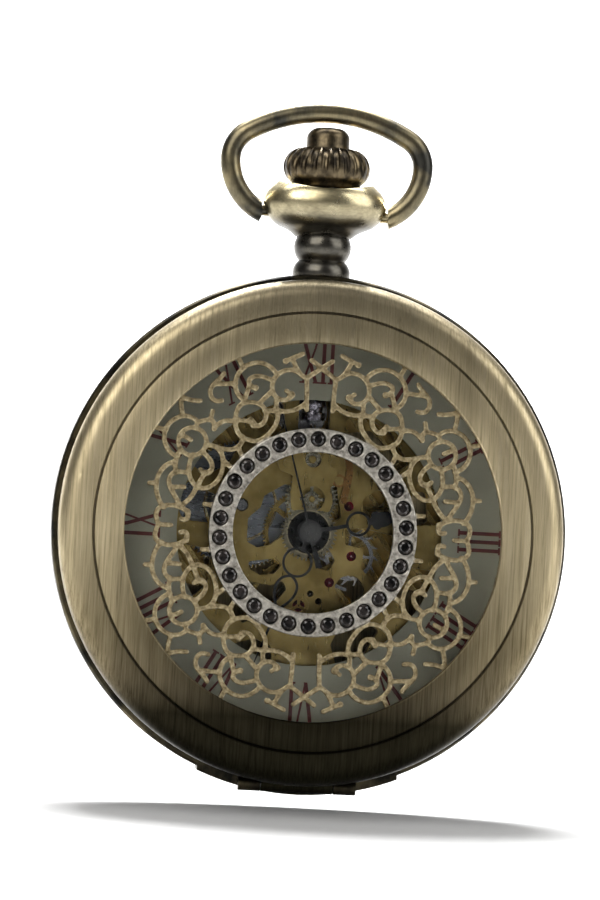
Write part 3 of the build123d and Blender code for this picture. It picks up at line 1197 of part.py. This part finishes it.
def main():
    os.makedirs("parts", exist_ok=True)
    catch_spring, lift_spring, spring_screws = case_springs()
    nodes = {
        "case_middle": case_middle(),
        "pendant": pendant(),
        "bezel": bezel(),
        "crystal": crystal(),
        "back_cover": back_cover(),
        "lid_hinge_pin": hinge_rod(HINGE_PIN_R, -KNUCKLE_CASE_END, KNUCKLE_CASE_END),
        "catch_spring": catch_spring,
        "lid_lift_spring": lift_spring,
        "case_spring_screws": spring_screws,
        "lid_shell": lid_shell(),
        "lid_grille": lid_grille(),
        "lid_stones": lid_stones(),
        "lid_catch": lid_catch(),
        "crown": crown(),
        "winding_stem": winding_stem(),
        "bow": bow(),
        "dial_ring": dial_ring(),
        "dial_numerals": dial_numerals(),
        "hour_hand": hour_hand(),
        "minute_hand": minute_hand(),
        "second_hand": second_hand(),
        "cannon_pinion": cannon_pinion(),
        "minute_wheel": minute_wheel(),
        "hour_wheel": hour_wheel(),
        "setting_wheel": setting_wheel(),
        "motion_cover": motion_cover(),
        "dial_side_screws": group([motion_cover_screws(), yoke_screw()]),
        "yoke": yoke(),
        "winding_pinion": winding_pinion(),
        "clutch_wheel": clutch_wheel(),
        "setting_lever": setting_lever(),
        "main_plate": main_plate(),
        "movement_holder": movement_holder(),
        "plate_jewels": plate_jewels(),
        "balance_setting": balance_setting(),
        "barrel": barrel(),
        "barrel_cover": barrel_cover(),
        "barrel_arbor": barrel_arbor(),
        "mainspring": mainspring(),
        "ratchet_wheel": ratchet_wheel(),
        "crown_wheel": crown_wheel(),
        "winding_idler": winding_idler(),
        "click": click(),
        "click_spring": click_spring(),
        "centre_wheel": centre_wheel(),
        "third_wheel": third_wheel(),
        "fourth_wheel": fourth_wheel(),
        "escape_wheel": escape_wheel(),
        "pallet_fork": pallet_fork(),
        "pallet_stones": pallet_stones(),
        "pallet_bridge": pallet_bridge(),
        "balance_wheel": balance_wheel(),
        "hairspring": hairspring(),
        "balance_cock": balance_cock(),
        "regulator": regulator(),
        "barrel_bridge": barrel_bridge(),
        "train_bridge": train_bridge(),
        "bridge_jewels": group([bridge_jewels(), balance_jewel(), balance_cap_jewel()]),
        "movement_screws": group([ratchet_screw(), idler_screw(), click_screw(), cock_screw(),
                                  bridge_screws(), clamp_screws()]),
        "case_clamps": case_clamps(),
    }
    for node, shape in nodes.items():
        save(node, shape)


if __name__ == "__main__":
    main()
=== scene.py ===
"""Looks of the pocket watch: materials, edge finish, cut stones, stage, lights and camera."""

import math

import bmesh
import bpy
from mathutils import Matrix, Vector


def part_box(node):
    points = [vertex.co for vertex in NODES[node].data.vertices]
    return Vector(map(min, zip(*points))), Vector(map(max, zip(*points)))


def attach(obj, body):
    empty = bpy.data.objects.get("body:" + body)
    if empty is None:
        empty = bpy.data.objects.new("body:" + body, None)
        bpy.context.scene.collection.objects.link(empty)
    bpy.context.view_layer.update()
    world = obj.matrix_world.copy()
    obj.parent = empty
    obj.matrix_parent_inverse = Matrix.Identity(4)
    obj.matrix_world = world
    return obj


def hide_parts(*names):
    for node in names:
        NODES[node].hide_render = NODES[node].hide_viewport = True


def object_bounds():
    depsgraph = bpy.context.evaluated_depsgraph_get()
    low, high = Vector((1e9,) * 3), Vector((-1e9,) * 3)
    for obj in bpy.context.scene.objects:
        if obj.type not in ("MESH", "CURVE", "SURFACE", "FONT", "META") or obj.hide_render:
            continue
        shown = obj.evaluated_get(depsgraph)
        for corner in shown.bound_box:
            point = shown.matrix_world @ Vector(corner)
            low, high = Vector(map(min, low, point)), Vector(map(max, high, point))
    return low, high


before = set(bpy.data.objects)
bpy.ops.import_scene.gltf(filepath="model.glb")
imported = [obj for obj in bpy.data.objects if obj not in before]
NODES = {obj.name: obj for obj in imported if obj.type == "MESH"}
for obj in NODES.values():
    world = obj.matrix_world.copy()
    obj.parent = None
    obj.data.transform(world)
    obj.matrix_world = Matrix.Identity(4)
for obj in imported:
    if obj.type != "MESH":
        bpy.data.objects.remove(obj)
cad_low, cad_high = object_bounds()
MM = 0.001
CASE_CENTRE_Z = cad_low.z + 24 * MM   # height of the case's middle, where the hands' hub is
CASE_HEIGHT = 47 * MM
RING_EDGE_R = 9.5 * MM                # outer edge of the ring that holds the stones
STONE_COUNT = 30
STONE_R = 0.71 * MM


# ---- node helpers -----------------------------------------------------------------------------------

def colour(red, green, blue):
    """Scene-linear colour of an 8-bit sRGB one."""
    def linear(value):
        share = value / 255
        return share / 12.92 if share <= 0.04045 else ((share + 0.055) / 1.055) ** 2.4
    return (linear(red), linear(green), linear(blue), 1.0)


class Look:
    """A Principled material with helpers that add the nodes of its detail."""

    def __init__(self, name, metallic, roughness):
        self.material = bpy.data.materials.new(name)
        self.material.use_nodes = True
        self.tree = self.material.node_tree
        self.shader = self.tree.nodes["Principled BSDF"]
        self.shader.inputs["Metallic"].default_value = metallic
        self.shader.inputs["Roughness"].default_value = roughness
        self.place = self.add("ShaderNodeTexCoord").outputs["Object"]

    def add(self, kind, **settings):
        node = self.tree.nodes.new(kind)
        for key, value in settings.items():
            setattr(node, key, value)
        return node

    def link(self, source, target):
        self.tree.links.new(source, target)

    def noise(self, scale, detail=3.0, stretch=(1, 1, 1), roughness=0.55):
        """Noise in object space: scale is cells per metre, stretch squeezes each axis."""
        mapping = self.add("ShaderNodeMapping")
        mapping.inputs["Scale"].default_value = stretch
        self.link(self.place, mapping.inputs["Vector"])
        noise = self.add("ShaderNodeTexNoise")
        noise.inputs["Scale"].default_value = scale
        noise.inputs["Detail"].default_value = detail
        noise.inputs["Roughness"].default_value = roughness
        self.link(mapping.outputs["Vector"], noise.inputs["Vector"])
        return noise.outputs["Fac"]

    def ramp(self, source, *stops):
        """Colour ramp over (place, colour) stops."""
        ramp = self.add("ShaderNodeValToRGB")
        elements = ramp.color_ramp.elements
        elements[0].position, elements[0].color = stops[0]
        elements[1].position, elements[1].color = stops[-1]
        for place, shade in stops[1:-1]:
            elements.new(place).color = shade
        self.link(source, ramp.inputs["Fac"])
        return ramp.outputs["Color"]

    def fit(self, source, low, high, to_low, to_high):
        node = self.add("ShaderNodeMapRange")
        for key, value in zip(("From Min", "From Max", "To Min", "To Max"), (low, high, to_low, to_high)):
            node.inputs[key].default_value = value
        self.link(source, node.inputs["Value"])
        return node.outputs["Result"]

    def mix(self, share, first, second, blend="MIX"):
        """Mix of two colours; share, first and second are each a socket or a constant."""
        node = self.add("ShaderNodeMix", data_type="RGBA", blend_type=blend)
        for index, value in ((0, share), (6, first), (7, second)):
            if isinstance(value, bpy.types.NodeSocket):
                self.link(value, node.inputs[index])
            else:
                node.inputs[index].default_value = value
        return node.outputs[2]

    def axis(self, index):
        """One coordinate of the place in object space."""
        split = self.add("ShaderNodeSeparateXYZ")
        self.link(self.place, split.inputs["Vector"])
        return split.outputs[index]

    def reach(self, axis_z):
        """Distance from the watch's front-to-back axis, which stands at height axis_z."""
        offset = self.add("ShaderNodeVectorMath", operation="SUBTRACT")
        offset.inputs[1].default_value = (0, 0, axis_z)
        self.link(self.place, offset.inputs[0])
        flat = self.add("ShaderNodeVectorMath", operation="MULTIPLY")
        flat.inputs[1].default_value = (1, 0, 1)
        self.link(offset.outputs["Vector"], flat.inputs[0])
        length = self.add("ShaderNodeVectorMath", operation="LENGTH")
        self.link(flat.outputs["Vector"], length.inputs[0])
        return length.outputs["Value"]

    def paint(self, source):
        self.link(source, self.shader.inputs["Base Color"])

    def rough(self, source):
        self.link(source, self.shader.inputs["Roughness"])

    def bump(self, source, distance, strength=0.5):
        node = self.add("ShaderNodeBump")
        node.inputs["Strength"].default_value = strength
        node.inputs["Distance"].default_value = distance
        self.link(source, node.inputs["Height"])
        self.link(node.outputs["Normal"], self.shader.inputs["Normal"])


# ---- materials --------------------------------------------------------------------------------------

def brushed_brass(name, groove_shade=False):
    """Antique brass with fine upright brushing and painted light and shade over its height: brightest at
    mid-height, darker at the top, darkest towards the foot of the case.
    """
    look = Look(name, 1.0, 0.4)
    grain = look.noise(5200, 4, (1, 0.4, 0.022), 0.7)
    broad = look.noise(420, 3, (1, 0.4, 0.12))
    tone = look.ramp(
        grain,
        (0.30, colour(156, 143, 112)), (0.5, colour(205, 189, 152)), (0.72, colour(234, 218, 180)),
    )
    patch = look.ramp(broad, (0.35, colour(200, 200, 200)), (0.7, colour(255, 255, 255)))
    tone = look.mix(0.55, tone, patch, "MULTIPLY")
    height = look.fit(look.axis(2), cad_low.z, cad_low.z + CASE_HEIGHT, 0.0, 1.0)
    # painted light and shade: a ramp over height, brightest at mid-height, darker near the top and much
    # darker at the foot, stands in for how light falls on the case
    painted_light_by_height = look.ramp(
        height,
        (0.02, (0.05, 0.055, 0.052, 1)), (0.15, (0.045, 0.046, 0.043, 1)), (0.21, (0.21, 0.205, 0.20, 1)),
        (0.32, (0.42, 0.41, 0.385, 1)), (0.50, (1, 1, 1, 1)), (0.70, (1, 1, 1, 1)),
        (0.88, (0.66, 0.66, 0.66, 1)),
        (1.0, (0.46, 0.47, 0.50, 1)),
    )
    tone = look.mix(1.0, tone, painted_light_by_height, "MULTIPLY")
    if groove_shade:
        # painted shade: a dark ring 19.6 to 20.4 mm from the case axis stands in for the shade in the
        # lid's groove
        plain, dark = (1, 1, 1, 1), (0.22, 0.22, 0.22, 1)
        across = look.fit(look.reach(CASE_CENTRE_Z), 19.6 * MM, 20.4 * MM, 0.0, 1.0)
        painted_groove_shade = look.ramp(across, (0.30, plain), (0.42, dark), (0.55, dark), (0.66, plain))
        tone = look.mix(1.0, tone, painted_groove_shade, "MULTIPLY")
    look.paint(tone)
    look.rough(look.fit(grain, 0.3, 0.7, 0.48, 0.32))
    look.bump(grain, 0.03 * MM, 0.35)
    return look.material


def dark_brass(name, dark, worn, height=700, share=0.5):
    """Gun-dark patina with worn, brassy patches."""
    look = Look(name, 1.0, 0.38)
    broad = look.noise(height, 4)
    fine = look.noise(6000, 3, (1, 1, 0.15))
    rubbed = look.fit(broad, share - 0.12, share + 0.16, 0.0, 1.0)
    tone = look.mix(rubbed, dark, worn)
    look.paint(look.mix(look.fit(fine, 0.35, 0.7, 0.0, 0.45), tone, look.mix(0.5, tone, (0, 0, 0, 1))))
    look.rough(look.fit(broad, 0.3, 0.7, 0.42, 0.28))
    look.bump(fine, 0.02 * MM, 0.4)
    return look.material


def pale_top_dark_foot_brass():
    """Pendant brass: pale, polished brass on top, dark below, with fine scratches."""
    look = Look("pendant_brass", 1.0, 0.3)
    broad = look.noise(500, 4)
    scratches = look.noise(5000, 3, (0.3, 1, 1))
    rise = look.fit(look.axis(2), -0.0012, 0.0012, 0.0, 1.0)
    worn = look.mix(look.fit(broad, 0.3, 0.6, 0.3, 0.8), colour(164, 150, 114), colour(250, 236, 192))
    dark = look.mix(broad, colour(62, 63, 66), colour(122, 117, 104))
    tone = look.mix(rise, dark, worn)
    look.paint(look.mix(look.fit(scratches, 0.4, 0.75, 0.0, 0.35), tone, colour(50, 45, 34)))
    look.rough(look.fit(broad, 0.3, 0.7, 0.34, 0.24))
    look.bump(scratches, 0.015 * MM, 0.35)
    return look.material


def cast_bronze():
    """Pale cast filigree with a grainy skin, and painted shade that darkens it towards its back, as in its
    recesses.
    """
    look = Look("cast_bronze", 0.85, 0.42)
    grain = look.noise(2600, 5)
    speck = look.noise(9000, 2)
    bronze = look.ramp(
        grain,
        (0.30, colour(98, 86, 62)), (0.5, colour(160, 144, 110)), (0.72, colour(204, 190, 154)),
    )
    grey = look.ramp(
        grain,
        (0.30, colour(104, 100, 93)), (0.5, colour(170, 165, 155)), (0.72, colour(212, 207, 196)),
    )
    edge_of_ring = look.fit(look.reach(CASE_CENTRE_Z), RING_EDGE_R, RING_EDGE_R + 0.2 * MM, 0.0, 1.0)
    tone = look.mix(edge_of_ring, grey, bronze)
    tone = look.mix(look.fit(speck, 0.55, 0.75, 0.0, 0.5), tone, colour(60, 54, 44))
    # painted shade: darker towards the back of the filigree, from y = -6.04 mm to -5.8 mm, standing in for
    # the shade in its recesses
    depth = look.fit(look.axis(1), -0.00604, -0.0058, 0.0, 0.95)
    look.paint(look.mix(depth, tone, colour(46, 42, 34)))
    look.rough(look.fit(grain, 0.3, 0.7, 0.5, 0.34))
    look.bump(grain, 0.05 * MM, 0.5)
    return look.material


def dial_enamel():
    """Greyish off-white painted dial with a faint mottle."""
    look = Look("dial_enamel", 0.0, 0.5)
    broad = look.noise(160, 3)
    fine = look.noise(3500, 4)
    tone = look.mix(broad, colour(148, 146, 127), colour(176, 174, 155))
    look.paint(look.mix(look.fit(fine, 0.35, 0.7, 0.0, 0.25), tone, colour(172, 170, 155)))
    look.rough(look.fit(fine, 0.3, 0.7, 0.55, 0.42))
    look.bump(fine, 0.01 * MM, 0.25)
    return look.material


def paint(name, dark, light, roughness):
    look = Look(name, 0.0, roughness)
    fine = look.noise(4000, 3)
    look.paint(look.mix(fine, dark, light))
    look.rough(look.fit(fine, 0.3, 0.7, roughness + 0.08, roughness - 0.06))
    look.bump(fine, 0.008 * MM, 0.2)
    return look.material


def metal(name, dark, light, roughness=0.28, grain=(1, 1, 1), scale=2400):
    """Machined metal: fine directional lines over a slow change of tone."""
    look = Look(name, 1.0, roughness)
    lines = look.noise(scale, 3, grain)
    broad = look.noise(300, 3)
    tone = look.mix(look.fit(broad, 0.3, 0.7, 0.0, 1.0), dark, light)
    look.paint(look.mix(look.fit(lines, 0.4, 0.7, 0.0, 0.16), tone, look.mix(0.5, tone, (0, 0, 0, 1))))
    look.rough(look.fit(lines, 0.3, 0.7, roughness + 0.06, roughness - 0.04))
    look.bump(lines, 0.006 * MM, 0.2)
    return look.material


def hour_wheel_steel(axis_z):
    """Greyish teeth round a dark disc that frames the hub."""
    look = Look("hour_wheel_steel", 1.0, 0.28)
    rings = look.fit(look.reach(axis_z), 0.0, 3 * MM, 0.0, 1.0)
    fine = look.noise(3000, 3)
    tone = look.ramp(
        rings,
        (0.0, colour(26, 27, 29)), (0.60, colour(46, 46, 46)), (0.64, colour(54, 52, 48)),
        (0.66, colour(168, 158, 132)), (0.70, colour(126, 119, 102)), (1.0, colour(132, 126, 110)),
    )
    look.paint(look.mix(look.fit(fine, 0.35, 0.7, 0.0, 0.2), tone, look.mix(0.5, tone, (0, 0, 0, 1))))
    look.rough(look.fit(fine, 0.3, 0.7, 0.36, 0.24))
    look.bump(fine, 0.01 * MM, 0.3)
    return look.material


def striped_gilt():
    """Gilt bridges with broad parallel stripes, as on finished movements."""
    look = Look("striped_gilt", 1.0, 0.3)
    mapping = look.add("ShaderNodeMapping")
    mapping.inputs["Rotation"].default_value = (0, math.radians(35), 0)
    look.link(look.place, mapping.inputs["Vector"])
    wave = look.add("ShaderNodeTexWave", wave_type="BANDS", bands_direction="X", wave_profile="SAW")
    wave.inputs["Scale"].default_value = 260
    wave.inputs["Distortion"].default_value = 0.0
    look.link(mapping.outputs["Vector"], wave.inputs["Vector"])
    stripes = wave.outputs["Fac"]
    look.paint(look.mix(stripes, colour(150, 125, 74), colour(206, 182, 124)))
    look.rough(look.fit(stripes, 0, 1, 0.36, 0.22))
    look.bump(stripes, 0.02 * MM, 0.3)
    return look.material


def clear_crystal():
    look = Look("clear_crystal", 0.0, 0.02)
    look.shader.inputs["Transmission Weight"].default_value = 1.0
    look.shader.inputs["IOR"].default_value = 1.15
    smudge = look.noise(90, 3)
    look.paint(look.mix(smudge, (0.93, 0.95, 0.94, 1), (1, 1, 1, 1)))
    look.rough(look.fit(smudge, 0.4, 0.8, 0.0, 0.03))
    return look.material


def stone_glass(name, dark, light):
    """Glossy faceted glass that hides what is behind it."""
    look = Look(name, 0.55, 0.06)
    cloud = look.noise(1300, 2)
    look.paint(look.mix(look.fit(cloud, 0.4, 0.65, 0.0, 1.0), dark, light))
    look.shader.inputs["Coat Weight"].default_value = 1.0
    look.shader.inputs["Coat Roughness"].default_value = 0.03
    look.rough(look.fit(cloud, 0.3, 0.7, 0.12, 0.04))
    return look.material


def make_materials():
    gold_dark, gold_light = colour(128, 110, 68), colour(182, 160, 106)
    return {
        "case": brushed_brass("brushed_brass"),
        "lid": brushed_brass("brushed_lid_brass", groove_shade=True),
        "band": dark_brass("band_brass", colour(38, 37, 34), colour(98, 90, 70), 300, 0.5),
        "pendant": pale_top_dark_foot_brass(),
        "bow": dark_brass("bow_brass", colour(70, 69, 64), colour(158, 146, 114), 260, 0.50),
        "crown": dark_brass("crown_brass", colour(50, 45, 38), colour(118, 105, 82), 900, 0.5),
        "filigree": cast_bronze(),
        "dial": dial_enamel(),
        "numeral": paint("numeral_maroon", colour(84, 34, 33), colour(110, 48, 45), 0.45),
        "hand": paint("hand_black", colour(12, 12, 13), colour(30, 30, 32), 0.32),
        "gilt": metal("gilt_brass", gold_dark, gold_light, 0.3, (1, 1, 0.2)),
        "wheel": metal("wheel_gold", gold_dark, colour(190, 166, 108), 0.22),
        # painted highlight: a paler copy of the gilt for the rounded edges of movement parts
        "edge": metal("painted_edge_highlight", colour(196, 180, 130), colour(236, 222, 178), 0.2),
        "hour": hour_wheel_steel(CASE_CENTRE_Z),
        "stripes": striped_gilt(),
        "steel": metal("bright_steel", colour(120, 120, 124), colour(214, 214, 216), 0.2, (1, 1, 0.15)),
        "keyless": metal("keyless_steel", colour(104, 98, 112), colour(176, 172, 182), 0.24),
        "dark_steel": metal("dark_steel", colour(100, 103, 108), colour(158, 162, 166), 0.28, (0.2, 1, 1)),
        "silver": metal("silver_wheel", colour(110, 106, 94), colour(178, 172, 152), 0.25),
        "copper": metal("copper_tone", colour(118, 88, 56), colour(166, 128, 84), 0.28),
        "ruby": stone_glass("ruby", colour(52, 6, 18), colour(130, 22, 44)),
        "stone": stone_glass("smoky_stone", colour(10, 10, 10), colour(74, 68, 66)),
        "crystal": clear_crystal(),
    }


MATERIAL_OF = {
    "lid_shell": "lid", "bezel": "case", "back_cover": "case", "case_middle": "band", "pendant": "pendant",
    "bow": "bow", "crown": "crown", "lid_grille": "filigree", "lid_stones": "stone", "crystal": "crystal",
    "dial_ring": "dial", "dial_numerals": "numeral", "hour_hand": "hand", "minute_hand": "hand",
    "second_hand": "hand", "main_plate": "gilt", "movement_holder": "dark_steel", "motion_cover": "gilt",
    "balance_setting": "gilt", "barrel": "dark_steel", "barrel_cover": "gilt", "centre_wheel": "wheel",
    "third_wheel": "wheel", "fourth_wheel": "wheel", "escape_wheel": "steel", "balance_wheel": "wheel",
    "balance_cock": "stripes", "barrel_bridge": "stripes", "train_bridge": "stripes",
    "pallet_bridge": "stripes", "hour_wheel": "hour", "dial_side_screws": "gilt",
    "minute_wheel": "silver", "cannon_pinion": "steel",
    "setting_wheel": "silver", "yoke": "copper", "setting_lever": "keyless", "winding_pinion": "keyless",
    "clutch_wheel": "keyless", "plate_jewels": "ruby", "pallet_stones": "ruby", "bridge_jewels": "ruby",
}


def dress_nodes(looks):
    """Gives every CAD node its material, joins its faces and rounds its edges a little; the rounded edges
    of some movement parts get a painted highlight.
    """
    edge = {
        "lid_shell": 0.1, "motion_cover": 0.1, "barrel": 0.05, "case_middle": 0.12, "bezel": 0.1,
        "back_cover": 0.12, "main_plate": 0.1,
        "balance_cock": 0.08, "barrel_bridge": 0.08, "train_bridge": 0.08, "pendant": 0.05, "bow": 0.1,
    }
    plain = ("crystal", "dial_numerals", "lid_grille", "hairspring", "mainspring")
    edge_highlight_parts = ("main_plate", "motion_cover", "barrel_bridge", "train_bridge", "balance_cock", "barrel")
    for name, node in NODES.items():
        node.data.materials.clear()
        node.data.materials.append(looks[MATERIAL_OF.get(name, "steel")])
        weld = node.modifiers.new("weld", "WELD")
        weld.merge_threshold = 0.0005 * MM
        if name not in plain:
            bevel = node.modifiers.new("edge", "BEVEL")
            bevel.width = edge.get(name, 0.03) * MM
            bevel.segments = 2
            bevel.limit_method = "ANGLE"
            bevel.angle_limit = math.radians(35)
            # painted highlight: the bevel faces of these parts take the paler gilt, standing in for the
            # light their edges catch
            if name in edge_highlight_parts:
                node.data.materials.append(looks["edge"])
                bevel.material = 1
    soften_casting(NODES["lid_grille"])


def soften_casting(node):
    """Rounds the filigree's square edges as a casting's are."""
    remesh = node.modifiers.new("cast", "REMESH")
    remesh.mode = "VOXEL"
    remesh.voxel_size = 0.075 * MM
    remesh.use_smooth_shade = True
    smooth = node.modifiers.new("round", "SMOOTH")
    smooth.factor = 0.5
    smooth.iterations = 4


# ---- cut stones -------------------------------------------------------------------------------------

def brilliant(mesh, centre, radius, front, back, turn):
    """Adds one round brilliant: table, crown facets, girdle and pavilion, its table facing -Y."""
    sides = 8
    depth = back - front

    def ring(count, share, y, offset):
        points = []
        for i in range(count):
            angle = turn + (i + offset) * math.tau / count
            x = centre[0] + share * radius * math.cos(angle)
            points.append(mesh.verts.new((x, y, centre[1] + share * radius * math.sin(angle))))
        return points

    table = ring(sides, 0.56, front, 0)
    upper = ring(sides, 0.80, front + 0.22 * depth, 0.5)
    girdle = ring(2 * sides, 1.0, front + 0.5 * depth, 0)
    lower = ring(2 * sides, 1.0, front + 0.6 * depth, 0)
    foot = ring(sides, 0.5, back, 0)
    mesh.faces.new(table)
    mesh.faces.new(foot[::-1])
    for i in range(sides):
        after = (i + 1) % sides
        mid, before = 2 * i + 1, (2 * i) % (2 * sides)
        end = (2 * i + 2) % (2 * sides)
        mesh.faces.new((table[after], table[i], upper[i]))
        mesh.faces.new((table[i], upper[i - 1], girdle[before], upper[i]))
        mesh.faces.new((upper[i], girdle[before], girdle[mid]))
        mesh.faces.new((upper[i], girdle[mid], girdle[end]))
        mesh.faces.new((girdle[before], lower[before], lower[mid], girdle[mid]))
        mesh.faces.new((girdle[mid], lower[mid], lower[end], girdle[end]))
        mesh.faces.new((lower[before], foot[i], lower[mid]))
        mesh.faces.new((lower[mid], foot[i], foot[after]))
        mesh.faces.new((lower[mid], foot[after], lower[end]))


def stone_ring(look):
    """Brilliants in the places of the CAD stones, in one piece."""
    low, high = (Vector(corner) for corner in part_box("lid_stones"))
    middle = (low + high) / 2
    outer = (high.x - low.x) / 2
    pitch = outer - STONE_R
    mesh = bmesh.new()
    for i in range(STONE_COUNT):
        angle = i * math.tau / STONE_COUNT
        centre = (middle.x + pitch * math.sin(angle), middle.z + pitch * math.cos(angle))
        brilliant(mesh, centre, STONE_R * 0.98, low.y, high.y, 0.7 * i)
    bmesh.ops.recalc_face_normals(mesh, faces=mesh.faces)
    data = bpy.data.meshes.new("cut_stones")
    mesh.to_mesh(data)
    mesh.free()
    data.materials.append(look)
    stones = bpy.data.objects.new("cut_stones", data)
    bpy.context.scene.collection.objects.link(stones)
    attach(stones, "lid")
    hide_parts("lid_stones")


# ---- stage, lights and camera -----------------------------------------------------------------------

def backdrop():
    """Pale floor that sweeps up into a wall behind the watch."""
    floor_z = cad_low.z - 1.5 * MM
    reach, sweep_y, radius, rise = 1.6, 0.03, 0.35, 1.4
    profile = [(-reach, 0.0), (sweep_y, 0.0)]
    steps = 24
    for i in range(1, steps + 1):
        angle = math.pi / 2 * i / steps
        profile.append((sweep_y + radius * math.sin(angle), radius * (1 - math.cos(angle))))
    profile.append((sweep_y + radius, rise))
    mesh = bmesh.new()
    rows = [[mesh.verts.new((x, y, floor_z + z)) for y, z in profile] for x in (-reach, reach)]
    for i in range(len(profile) - 1):
        mesh.faces.new((rows[0][i], rows[1][i], rows[1][i + 1], rows[0][i + 1]))
    data = bpy.data.meshes.new("backdrop")
    mesh.to_mesh(data)
    mesh.free()
    for face in data.polygons:
        face.use_smooth = True
    look = Look("pale_paper", 0.0, 0.9)
    fibre = look.noise(600, 3)
    look.paint(look.mix(fibre, colour(150, 150, 150), colour(156, 156, 156)))
    look.bump(fibre, 0.02 * MM, 0.1)
    data.materials.append(look.material)
    paper = bpy.data.objects.new("backdrop", data)
    bpy.context.scene.collection.objects.link(paper)


def area_light(name, at, target, size, power, tint=(1, 1, 1)):
    data = bpy.data.lights.new(name, "AREA")
    data.shape = "RECTANGLE"
    data.size, data.size_y = size
    data.energy = power
    data.color = tint
    light = bpy.data.objects.new(name, data)
    light.location = at
    light.rotation_mode = "QUATERNION"
    light.rotation_quaternion = (Vector(target) - Vector(at)).to_track_quat("-Z", "Y")
    bpy.context.scene.collection.objects.link(light)


def lights():
    middle = (0, 0, (cad_low.z + cad_high.z) / 2)
    area_light("key", (-0.36, -0.50, 0.40), middle, (0.55, 0.55), 3.2, (1.0, 0.98, 0.94))
    area_light("side_fill", (0.50, -0.30, 0.25), middle, (0.45, 0.6), 1.8)
    area_light("back_top", (0.0, 0.22, 0.30), (0, -0.02, -0.05), (0.16, 0.12), 9.0)
    area_light("wall_wash", (0.0, 0.14, 0.80), (0, 0.40, 0.10), (1.2, 0.3), 7.0)
    world = bpy.data.worlds.new("studio")
    world.use_nodes = True
    tree = world.node_tree
    place = tree.nodes.new("ShaderNodeTexCoord")
    slope = tree.nodes.new("ShaderNodeVectorMath")
    slope.operation = "DOT_PRODUCT"
    slope.inputs[1].default_value = (-0.30, -0.85, 0.40)
    share = tree.nodes.new("ShaderNodeMapRange")
    for key, value in (("From Min", -0.5), ("From Max", 0.8), ("To Min", 0.12), ("To Max", 0.86)):
        share.inputs[key].default_value = value
    tree.links.new(place.outputs["Generated"], slope.inputs[0])
    tree.links.new(slope.outputs["Value"], share.inputs["Value"])
    tree.links.new(share.outputs["Result"], tree.nodes["Background"].inputs["Strength"])
    bpy.context.scene.world = world


def camera():
    """Long lens a little left of and below the dial's axis, rolled so that the watch leans right."""
    azimuth, elevation, lean = math.radians(-5), math.radians(-1.5), math.radians(3.1)
    distance = 0.42
    frame_height = 0.0830
    dial_centre = Vector((0, 0, (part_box("crystal")[0][2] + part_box("crystal")[1][2]) / 2))
    back = Vector((
        math.sin(azimuth) * math.cos(elevation),
        -math.cos(azimuth) * math.cos(elevation),
        math.sin(elevation),
    ))
    level_right = Vector((0, 0, 1)).cross(back).normalized()
    level_up = back.cross(level_right)
    right = level_right * math.cos(lean) + level_up * math.sin(lean)
    up = level_up * math.cos(lean) - level_right * math.sin(lean)
    target = dial_centre - right * 0.65 * MM + up * 7.65 * MM
    data = bpy.data.cameras.new("camera")
    data.lens = data.sensor_width * distance / frame_height
    data.clip_start, data.clip_end = 0.01, 10
    seer = bpy.data.objects.new("camera", data)
    turn = Matrix((right, up, back)).transposed().to_4x4()
    seer.matrix_world = Matrix.Translation(target + back * distance) @ turn
    bpy.context.scene.collection.objects.link(seer)
    bpy.context.scene.camera = seer


looks = make_materials()
dress_nodes(looks)
stone_ring(looks["stone"])
backdrop()
lights()
camera()
bpy.context.scene.view_settings.view_transform = "Standard"
